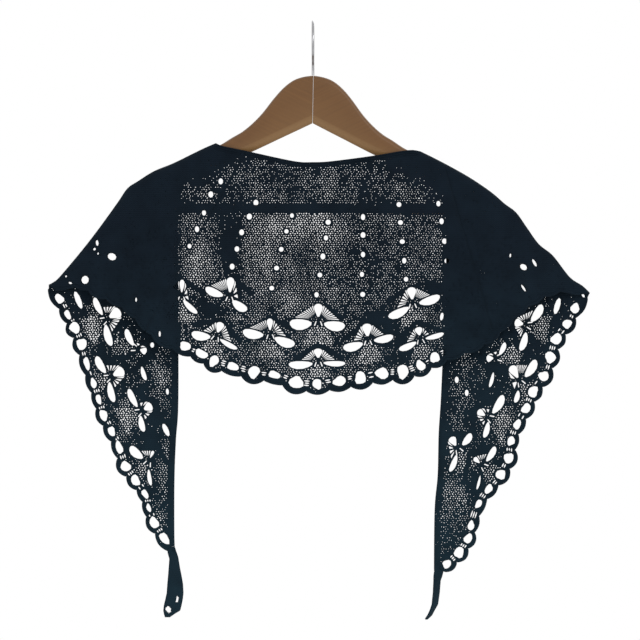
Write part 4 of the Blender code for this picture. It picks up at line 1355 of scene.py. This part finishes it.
class YarnTree:
    """A Geometry Nodes tree that turns edges into yarn."""

    def __init__(self) -> None:
        """Builds the tree, with its inputs for radius, sides and material."""
        self.tree = bpy.data.node_groups.new("yarn_along_lines", "GeometryNodeTree")
        face = self.tree.interface
        face.new_socket("Geometry", in_out="INPUT", socket_type="NodeSocketGeometry")
        self.radius = face.new_socket("Radius", in_out="INPUT", socket_type="NodeSocketFloat").identifier
        self.sides = face.new_socket("Sides", in_out="INPUT", socket_type="NodeSocketInt").identifier
        self.finish = face.new_socket("Finish", in_out="INPUT", socket_type="NodeSocketMaterial").identifier
        face.new_socket("Geometry", in_out="OUTPUT", socket_type="NodeSocketGeometry")
        nodes, links = self.tree.nodes, self.tree.links
        start = nodes.new("NodeGroupInput")
        stop = nodes.new("NodeGroupOutput")
        curve = nodes.new("GeometryNodeMeshToCurve")
        ring = nodes.new("GeometryNodeCurvePrimitiveCircle")
        tube = nodes.new("GeometryNodeCurveToMesh")
        smooth = nodes.new("GeometryNodeSetShadeSmooth")
        real = nodes.new("GeometryNodeRealizeInstances")
        dress = nodes.new("GeometryNodeSetMaterial")
        tube.inputs["Fill Caps"].default_value = True
        links.new(start.outputs["Geometry"], curve.inputs["Mesh"])
        links.new(start.outputs["Radius"], ring.inputs["Radius"])
        links.new(start.outputs["Sides"], ring.inputs["Resolution"])
        links.new(curve.outputs[0], tube.inputs["Curve"])
        links.new(ring.outputs[0], tube.inputs["Profile Curve"])
        links.new(tube.outputs[0], smooth.inputs["Geometry"])
        links.new(smooth.outputs[0], real.inputs["Geometry"])
        links.new(real.outputs[0], dress.inputs["Geometry"])
        links.new(start.outputs["Finish"], dress.inputs["Material"])
        links.new(dress.outputs[0], stop.inputs["Geometry"])

    def spin(self, name: str, lines: list[np.ndarray], radius: float, sides: int,
             finish: bpy.types.Material) -> bpy.types.Object:
        """Makes yarn along lines, as one piece.

        Args:
            name: The piece's name.
            lines: Lines of points in the frame.
            radius: Radius of the yarn.
            sides: Sides of its section.
            finish: Its material.

        Returns:
            The piece.
        """
        points = np.vstack(lines)
        edges = []
        first = 0
        for line in lines:
            edges += [(first + i, first + i + 1) for i in range(len(line) - 1)]
            first += len(line)
        mesh = bpy.data.meshes.new(name + "_path")
        mesh.from_pydata([tuple(p) for p in points], edges, [])
        piece = bpy.data.objects.new(name, mesh)
        bpy.context.scene.collection.objects.link(piece)
        modifier = piece.modifiers.new("yarn", "NODES")
        modifier.node_group = self.tree
        modifier[self.radius] = radius
        modifier[self.sides] = sides
        modifier[self.finish] = finish
        bake_modifiers(piece)
        LOG.info("%s: %d faces", name, len(piece.data.polygons))
        return piece


@dataclass
class Shawl:
    """The shawl: its panels, hems, cords, ridges, knots and tips."""

    drape: Drape = field(default_factory=Drape)
    chart: LaceChart = field(default_factory=LaceChart)
    knit: Knit = field(default_factory=Knit)
    cord_radius: float = 0.0017
    ridge_radius: float = 0.0010
    ridge_step: float = 0.0023
    knot_radius: float = 0.0016
    single: tuple[float, float] = (-0.1620, 0.1570)
    neckline: tuple = (
        (-0.1154, -0.1436), (-0.1060, -0.1470), (-0.0750, -0.1535), (-0.0226, -0.1647),
        (0.0000, -0.1659), (0.0226, -0.1647), (0.0714, -0.1583), (0.1130, -0.1516),
        (0.1273, -0.1532),
    )
    left_edge: tuple = (
        (-0.1226, -0.1541), (-0.1535, -0.1773), (-0.1607, -0.2166), (-0.1607, -0.3296),
        (-0.1607, -0.4510), (-0.1636, -0.4962), (-0.1654, -0.5438), (-0.1654, -0.6150),
        (-0.1640, -0.6290),
    )
    right_edge: tuple = (
        (0.1345, -0.1642), (0.1523, -0.1868), (0.1583, -0.2285), (0.1583, -0.3296),
        (0.1547, -0.4010), (0.1523, -0.4510), (0.1499, -0.4891), (0.1488, -0.5379),
        (0.1452, -0.5795), (0.1443, -0.6530),
    )

    def __post_init__(self) -> None:
        """Works out the hems."""
        self.hem = self.chart.front_hem
        self.left_hem = self.chart.left_hem
        self.right_hem = self.chart.right_hem

    def clip(self, loop: np.ndarray, slope: float, side: float) -> np.ndarray:
        """The part of an outline on one side of a fan line.

        Args:
            loop: The outline.
            slope: The fan line's slope.
            side: -1 for the part on its left, 1 for its right.

        Returns:
            The part's outline.
        """
        off = side * (loop[:, 0] - self.chart.fan_x(slope, loop[:, 1]))
        kept = []
        for i in range(len(loop)):
            j = (i + 1) % len(loop)
            if off[i] > 0:
                kept.append(loop[i])
            if off[i] * off[j] < 0:
                kept.append(loop[i] + (loop[j] - loop[i]) * off[i] / (off[i] - off[j]))
        return self.filled(np.array(kept))

    def filled(self, loop: np.ndarray) -> np.ndarray:
        """The outline with points added along its long sides."""
        sides = []
        for a, b in zip(loop, np.roll(loop, -1, axis=0)):
            sides.append(spaced(np.array([a, b]), 0.003)[:-1])
        return np.vstack(sides)

    def panels(self) -> list[Panel]:
        """The shawl's five panels.

        Returns:
            The three stretches of the front and the two ends.
        """
        rng = np.random.default_rng(21)
        left, right = self.drape.folds[Side.LEFT], self.drape.folds[Side.RIGHT]
        neck = smooth_line(self.neckline, 0.004)
        rim = self.hem.edge(0.0, 12)
        whole = np.vstack([rim, right[::-1], neck[1:-1][::-1], left])
        hem = self.hem.holes(rng) + self.hem.slits(rng)
        low, high = self.single
        gaps = [gap for gap in hem if low < gap[:, 0].mean() < high] + self.chart.front_gaps(rng)
        borders = [(neck, 0.0050), (rim, 0.0052)]
        low, high = self.chart.seams
        parts = (
            ("front_left", self.clip(whole, low, -1), (Side.LEFT,)),
            ("front_middle", self.clip(self.clip(whole, low, 1), high, -1), (Side.LEFT, Side.RIGHT)),
            ("front_right", self.clip(whole, high, 1), (Side.RIGHT,)),
        )
        made = []
        for name, outline, rolls in parts:
            held = [gap for gap in gaps if within(gap, outline).all()]
            made.append(Panel(name, outline, held, self.chart.front_motifs, self.chart.front_patches,
                              Layer.FRONT, borders, rolls, self.hem, self.chart.through_patches))
        made.append(self.end(Side.LEFT, rng))
        made.append(self.end(Side.RIGHT, rng))
        return made

    def end(self, side: Side, rng: np.random.Generator) -> Panel:
        """One end of the shawl.

        Args:
            side: Which end.
            rng: Source of its unevenness.

        Returns:
            The panel.
        """
        fold = self.drape.folds[side]
        if side is Side.LEFT:
            hem, motifs, patches = self.left_hem, self.chart.left_motifs, self.chart.left_patches
            edge = smooth_line(self.left_edge, 0.004)
            rim = hem.edge(0.0, 12)
            outline = np.vstack([rim, edge[::-1], fold[1:]])
        else:
            hem, motifs, patches = self.right_hem, self.chart.right_motifs, self.chart.right_patches
            edge = smooth_line(self.right_edge, 0.004)
            rim = hem.edge(0.0, 12)
            outline = np.vstack([rim, fold[1:][::-1], edge])
        outline = self.filled(outline)
        gaps = hem.holes(rng) + hem.slits(rng) + self.chart.end_gaps(side)
        gaps = [gap for gap in gaps if within(gap, outline).all()]
        name = "end_left" if side is Side.LEFT else "end_right"
        return Panel(name, outline, gaps, motifs, patches, Layer.BEHIND,
                     [(edge, 0.0078), (rim, 0.0045)], (side,), self.hem,
                     self.chart.through_patches)

    def lift(self, flat: np.ndarray, layer: Layer, out: float = 0.0) -> np.ndarray:
        """Points of a flat line, hung in their place.

        Args:
            flat: The line as (x, z).
            layer: The layer that it lies on.
            out: How far it stands proud of the cloth's middle.

        Returns:
            The line in the frame.
        """
        depth = self.drape.depth(flat, layer) + layer.value * out
        return np.stack([flat[:, 0], depth, flat[:, 1]], axis=1)

    def build(self) -> None:
        yarn = YarnFinish().build("petrol_wool")
        tree = YarnTree()
        for panel in self.panels():
            piece = panel.build(self.knit, self.drape, yarn)
            extras = self.trims(panel, tree, yarn)
            for part in (piece, *extras):
                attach(part, BODY)
            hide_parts(panel.name)
            size = panel.outline.max(axis=0) - panel.outline.min(axis=0)
            min(panel.area(self.drape), float(size[0] * size[1]))
        self.tips(yarn)

    def trims(self, panel: Panel, tree: YarnTree, yarn: bpy.types.Material) -> list[bpy.types.Object]:
        """The cord along a panel's hem, the ridges along its upper edge and the knots of its motifs.

        Args:
            panel: The panel.
            tree: The yarn's node tree.
            yarn: Its material.

        Returns:
            The pieces made.
        """
        hem = {"end_left": self.left_hem, "end_right": self.right_hem}.get(panel.name, self.hem)
        cords = self.runs(hem.edge(self.cord_radius * 0.6, 12), panel, 0.0)
        upper = panel.borders[0][0]
        inward = 1.0 if panel.name == "end_right" else -1.0
        ridges = []
        for row in range(3):
            line = beside(upper, inward * self.ridge_step * (row + 0.35))
            ridges += self.runs(line, panel, 0.0005)
        knots = []
        for motif in panel.motifs:
            flat = motif.place + turned(np.array([[0.0, 0.0022], [0.0, -0.0012], [0.0, -0.0052]]),
                                        math.radians(motif.head.turn))
            if within(flat, panel.outline).all():
                knots.append(self.lift(flat, panel.layer, 0.0004))
        pieces = []
        for kind, lines, radius, sides in (("cord", cords, self.cord_radius, 8),
                                           ("ridges", ridges, self.ridge_radius, 6),
                                           ("knots", knots, self.knot_radius, 8)):
            if lines:
                pieces.append(tree.spin(panel.name + "_" + kind, lines, radius, sides, yarn))
        return pieces

    def runs(self, line: np.ndarray, panel: Panel, out: float) -> list[np.ndarray]:
        """The stretches of a line that lie on a panel, hung in their place.

        Args:
            line: The line as (x, z).
            panel: The panel.
            out: How far they stand proud of the cloth's middle.

        Returns:
            The stretches in the frame.
        """
        inside = within(line, panel.outline)
        stretches = []
        start = None
        for i, held in enumerate([*inside, False]):
            if held and start is None:
                start = i
            if not held and start is not None:
                if i - start > 2:
                    stretches.append(self.lift(line[start:i], panel.layer, out))
                start = None
        return stretches

    def tips(self, yarn: bpy.types.Material) -> None:
        """The two twisted tips."""
        for side in Side:
            tip = Tip(side)
            piece = tip.build(self.drape, yarn)
            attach(piece, BODY)
            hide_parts(tip.node)
            tip.flat()


@dataclass
class Tip:
    """The twisted tip of one end of the shawl.

    Args:
        side: Which end.
    """

    side: Side
    wall: float = 0.0017
    step: float = 0.0012
    columns: int = 17

    LEFT_ROWS = (
        (-0.6252, -0.1684, 0.0080, 8),
        (-0.6293, -0.1685, 0.0106, 20), (-0.6378, -0.1660, 0.0134, 45), (-0.6497, -0.1655, 0.0165, 42),
        (-0.6593, -0.1649, 0.0183, 34), (-0.6688, -0.1645, 0.0197, 24), (-0.6795, -0.1646, 0.0204, 16),
        (-0.6866, -0.1658, 0.0209, 10), (-0.6938, -0.1674, 0.0212, 6), (-0.7003, -0.1686, 0.0202, 4),
        (-0.7039, -0.1714, 0.0132, 2), (-0.7081, -0.1737, 0.0060, 0),
    )
    RIGHT_ROWS = (
        (-0.6450, 0.1502, 0.0096, 0),
        (-0.6530, 0.1500, 0.0110, 0), (-0.6640, 0.1480, 0.0110, 44), (-0.6783, 0.1471, 0.0110, 48),
        (-0.6926, 0.1454, 0.0110, 52), (-0.6997, 0.1422, 0.0095, 58), (-0.7057, 0.1392, 0.0075, 52),
        (-0.7104, 0.1350, 0.0030, 40),
    )

    LEFT_GAPS = (
        Oval(-0.1726, -0.6988, 0.0032, 0.0043, 20), Oval(-0.1621, -0.6870, 0.0018, 0.0040, -8),
    )

    @property
    def node(self) -> str:
        """The node that the tip stands for."""
        return "tail_left" if self.side is Side.LEFT else "tail_right"

    @property
    def above(self) -> str:
        """The node of the end that the tip hangs from."""
        return "end_left" if self.side is Side.LEFT else "end_right"

    @property
    def rows(self) -> np.ndarray:
        """Height, place across, width and turn of each section."""
        return np.array(self.LEFT_ROWS if self.side is Side.LEFT else self.RIGHT_ROWS, float)

    def flat(self) -> tuple[float, float]:
        """Width and length of the tip laid flat."""
        rows = self.rows
        length = float(np.linalg.norm(np.diff(rows[:, :2], axis=0), axis=1).sum())
        return float(rows[:, 2].max()), length

    def build(self, drape: Drape, finish: bpy.types.Material) -> bpy.types.Object:
        """Makes the tip as a strip that turns about its own length.

        Args:
            drape: The shawl's folds.
            finish: Its material.

        Returns:
            The tip.
        """
        rows = self.rows
        depth = float(drape.depth(rows[:1, [1, 0]], Layer.BEHIND)[0])
        along = -rows[:, 0]
        fine = np.linspace(along[0], along[-1], math.ceil((along[-1] - along[0]) / self.step))
        z, x, width, turn = (np.interp(fine, along, rows[:, k]) for k in range(4))
        across = np.linspace(-0.5, 0.5, self.columns)
        angle = np.radians(turn)[:, None]
        half = width[:, None] * across
        px = x[:, None] + half * np.cos(angle)
        py = depth + half * np.sin(angle)
        pz = np.repeat(z[:, None], len(across), axis=1)
        points = np.stack([px, py, pz], axis=-1).reshape(-1, 3)
        size = len(across)
        cells = [[a, a + size, a + size + 1, a + 1] for i in range(len(fine) - 1)
                 for a in range(i * size, (i + 1) * size - 1)]
        middles = points[np.array(cells)].mean(axis=1)[:, [0, 2]]
        open_here = np.zeros(len(cells), bool)
        if self.side is Side.LEFT:
            for gap in self.LEFT_GAPS:
                open_here |= within(middles, gap.loop())
        faces = [cell for cell, gone in zip(cells, open_here) if not gone]
        piece = add_mesh(self.node, points, faces, finish)
        wall = piece.modifiers.new("wall", "SOLIDIFY")
        wall.thickness = self.wall
        wall.offset = 0.0
        bake_modifiers(piece)
        return piece


@dataclass
class Hanger:
    """The wooden trouser hanger, with its bar and its wire hook."""

    half: float = 0.0065
    chamfer: float = 0.010
    foot: float = 0.002
    lean: float = math.radians(1.0)
    pivot: float = -0.090
    bar_radius: float = 0.004
    bar_z: float = -0.2215
    lug: float = 0.2060
    seam: float = 0.0003
    wire: float = 0.0016
    hook_radius: float = 0.0220
    hook_foot: float = -0.0621
    stations: tuple = (
        (0.0000, -0.0625, -0.1193), (0.0119, -0.0643, -0.1252), (0.0238, -0.0688, -0.1311),
        (0.0357, -0.0782, -0.1369), (0.0476, -0.0920, -0.1428), (0.0595, -0.1079, -0.1487),
        (0.0714, -0.1207, -0.1545), (0.0833, -0.1308, -0.1600), (0.0952, -0.1380, -0.1655),
        (0.1130, -0.1489, -0.1735), (0.1440, -0.1616, -0.1870), (0.1654, -0.1726, -0.1960),
        (0.1892, -0.1846, -0.2060), (0.2060, -0.1960, -0.2125),
    )
    lug_stations: tuple = ((0.2064, -0.1963, -0.2300), (0.2180, -0.2050, -0.2300))

    def turned(self, points: np.ndarray) -> np.ndarray:
        """Points of the hanger with its slight lean."""
        turn = np.array(Matrix.Rotation(self.lean, 3, "Y"))
        pivot = np.array([0.0, 0.0, self.pivot])
        return (points - pivot) @ turn.T + pivot

    def section(self, top: float, bottom: float) -> np.ndarray:
        """Section of an arm as (y, z): round top, flat faces, chamfered lower edge."""
        angle = np.radians(np.arange(0, 91, 11.25))
        cap = np.stack([self.half * np.sin(angle), top - self.half * (1 - np.cos(angle))], axis=1)
        soft = 0.0009
        low = np.array([
            (self.half, bottom + self.chamfer + soft), (self.half - soft * 0.4, bottom + self.chamfer - soft),
            (self.foot + soft * 0.5, bottom + soft), (self.foot - soft, bottom),
        ])
        half = np.vstack([cap, low])
        return np.vstack([half, (half * (-1, 1))[::-1][:-1]])

    def arm(self, side: Side, finish: bpy.types.Material) -> bpy.types.Object:
        """Makes one arm.

        Args:
            side: Which arm.
            finish: Its material.

        Returns:
            The arm.
        """
        table = np.array(self.stations)
        at = np.concatenate([[0.0, 0.0004], np.arange(0.004, 0.2060, 0.004), [0.2060]])
        top = curve_through(at, table[:, 0], table[:, 1])
        bottom = curve_through(at, table[:, 0], table[:, 2])
        rows = [*zip(at, top, bottom), *self.lug_stations]
        rings = []
        for x, upper, lower in rows:
            ring = self.section(upper, lower)
            if x == 0.0:
                centre = ring.mean(axis=0)
                ring = centre + (ring - centre) * 0.965
            wide = np.full((len(ring), 1), side.value * max(x, self.seam / 2))
            rings.append(np.hstack([wide, ring]))
        size = len(rings[0])
        points = self.turned(np.vstack(rings))
        faces = [list(range(size)), list(range(len(points) - size, len(points)))]
        for i in range(len(rings) - 1):
            for j in range(size):
                k = (j + 1) % size
                faces.append([i * size + j, i * size + k, (i + 1) * size + k, (i + 1) * size + j])
        name = "left_arm_wood" if side is Side.LEFT else "right_arm_wood"
        return closed(name, points, faces, finish, 35)

    def bar(self, finish: bpy.types.Material) -> bpy.types.Object:
        """Makes the trouser bar."""
        mesh = bmesh.new()
        length = 2 * (self.lug - self.seam)
        centre = self.turned(np.array([[0.0, 0.0, self.bar_z]]))[0]
        place = Matrix.Translation(Vector(centre)) @ Matrix.Rotation(self.lean + math.pi / 2, 4, "Y")
        bmesh.ops.create_cone(mesh, cap_ends=True, segments=40, radius1=self.bar_radius,
                              radius2=self.bar_radius, depth=length, matrix=place)
        return finished("trouser_bar", mesh, finish, 40)

    def hook(self, finish: bpy.types.Material) -> bpy.types.Object:
        """Makes the wire hook, edge-on to the front."""
        radius = self.hook_radius + self.wire
        angle = np.radians(np.arange(-30, 241, 5))
        arc = np.stack([radius * np.cos(angle), self.wire - radius + radius * np.sin(angle)], axis=1)
        low = arc[-1, 1]
        tail = smooth_line(
            (tuple(arc[-2]), tuple(arc[-1]), (-0.0048, low - 0.0042), (-0.0012, low - 0.0078),
             (0.0, low - 0.0125), (0.0, self.hook_foot)), 0.001)
        path = np.vstack([arc[:-2], tail])
        path = np.hstack([np.zeros((len(path), 1)), path])
        tree = YarnTree()
        return tree.spin("wire_hook", [spaced(path, 0.0016)], self.wire, 20, finish)

    def build(self) -> None:
        wood = WoodFinish()
        pieces = (
            (self.arm(Side.LEFT, wood.build("left_arm_walnut", math.radians(-25))), "arm_left", "wood"),
            (self.arm(Side.RIGHT, wood.build("right_arm_walnut", math.radians(25))), "arm_right", "wood"),
            (self.bar(wood.build("bar_walnut", 0.0)), "bar", "wood"),
            (self.hook(WireFinish().build("nickel_wire")), "hook", "wire"),
        )
        for piece, node, slot in pieces:
            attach(piece, BODY)
            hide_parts(node)
            LOG.info("%s: %d faces", piece.name, len(piece.data.polygons))


def curve_through(at: np.ndarray, xs: np.ndarray, values: np.ndarray) -> np.ndarray:
    """A smooth curve through a table's values.

    Args:
        at: Where to read it.
        xs: Places of the table's rows.
        values: Values of the table's rows.

    Returns:
        The curve's values.
    """
    rows = tuple((float(x), float(v)) for x, v in zip(xs, values))
    line = smooth_line(rows, 0.001)
    return np.interp(at, line[:, 0], line[:, 1])


def closed(name: str, points: np.ndarray, faces: list, finish: bpy.types.Material,
           sharp: float) -> bpy.types.Object:
    """A closed mesh object with its faces pointing out."""
    mesh = bmesh.new()
    corners = [mesh.verts.new(tuple(p)) for p in points]
    for face in faces:
        mesh.faces.new([corners[i] for i in face])
    return finished(name, mesh, finish, sharp)


def finished(name: str, mesh: bmesh.types.BMesh, finish: bpy.types.Material,
             sharp: float) -> bpy.types.Object:
    """Turns a bmesh into an object.

    Args:
        name: The object's name.
        mesh: Its mesh, which is freed.
        finish: Its material.
        sharp: Angle in degrees past which an edge is sharp.

    Returns:
        The object.
    """
    bmesh.ops.recalc_face_normals(mesh, faces=mesh.faces)
    data = bpy.data.meshes.new(name)
    mesh.to_mesh(data)
    mesh.free()
    data.shade_smooth()
    data.set_sharp_from_angle(angle=math.radians(sharp))
    data.materials.append(finish)
    piece = bpy.data.objects.new(name, data)
    bpy.context.scene.collection.objects.link(piece)
    return piece


@dataclass
class Studio:
    """A pale floor, soft light and the photograph's view."""

    middle: tuple[float, float] = (0.00833, -0.3534)
    span: float = 640 * PIXEL
    distance: float = 5.0
    floor_z: float = -1.05
    floor_radius: float = 1.6
    white: float = 1.0

    def build(self) -> None:
        """Makes the floor, the lights, the sky and the camera."""
        self.floor()
        self.sky()
        self.lamp("key", (1.6, -2.2, 0.9), 1.2, 26.0)
        self.lamp("fill", (-1.8, -2.0, 0.2), 1.6, 9.0)
        self.lamp("rim", (0.6, 2.0, 0.9), 1.4, 8.0)
        self.camera()
        bpy.context.scene.view_settings.view_transform = "Standard"

    def floor(self) -> None:
        """Makes the floor below the hanging part."""
        mesh = bmesh.new()
        place = Matrix.Translation((0.0, 0.0, self.floor_z))
        bmesh.ops.create_circle(mesh, cap_ends=True, segments=96, radius=self.floor_radius, matrix=place)
        shade = Shader("pale_floor")
        shade.colour(shade.mix(shade.noise(3.0, 2.0), (0.80, 0.80, 0.79), (0.86, 0.86, 0.85)))
        shade.set("Roughness", 0.8)
        data = bpy.data.meshes.new("floor")
        mesh.to_mesh(data)
        mesh.free()
        data.materials.append(shade.material)
        floor = bpy.data.objects.new("floor", data)
        bpy.context.scene.collection.objects.link(floor)

    def sky(self) -> None:
        """Makes the white surroundings."""
        world = bpy.data.worlds.new("white_room")
        bpy.context.scene.world = world
        world.use_nodes = True
        back = world.node_tree.nodes["Background"]
        back.inputs["Color"].default_value = (1.0, 1.0, 1.0, 1.0)
        back.inputs["Strength"].default_value = self.white

    def lamp(self, name: str, place: tuple[float, float, float], size: float, power: float) -> None:
        """Makes a soft lamp aimed at the shawl.

        Args:
            name: Its name.
            place: Where it stands.
            size: Width of its face.
            power: Its power in watts.
        """
        data = bpy.data.lights.new(name, "AREA")
        data.size = size
        data.energy = power
        lamp = bpy.data.objects.new(name, data)
        lamp.location = place
        aim = Vector((0.0, 0.0, -0.35)) - Vector(place)
        lamp.rotation_euler = aim.to_track_quat("-Z", "Y").to_euler()
        bpy.context.scene.collection.objects.link(lamp)

    def camera(self) -> None:
        """Makes the camera, level and straight on, with a long lens."""
        data = bpy.data.cameras.new("camera")
        data.sensor_width = 36.0
        data.lens = data.sensor_width * self.distance / self.span
        data.clip_end = 60.0
        camera = bpy.data.objects.new("camera", data)
        camera.location = (self.middle[0], -self.distance, self.middle[1])
        camera.rotation_euler = (math.pi / 2, 0.0, 0.0)
        bpy.context.scene.collection.objects.link(camera)
        bpy.context.scene.camera = camera


def main() -> None:
    """Builds every piece, then the studio."""
    logging.basicConfig(level=logging.INFO, format="%(message)s")
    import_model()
    Hanger().build()
    Shawl().build()
    Studio().build()


if __name__ == "__main__":
    main()
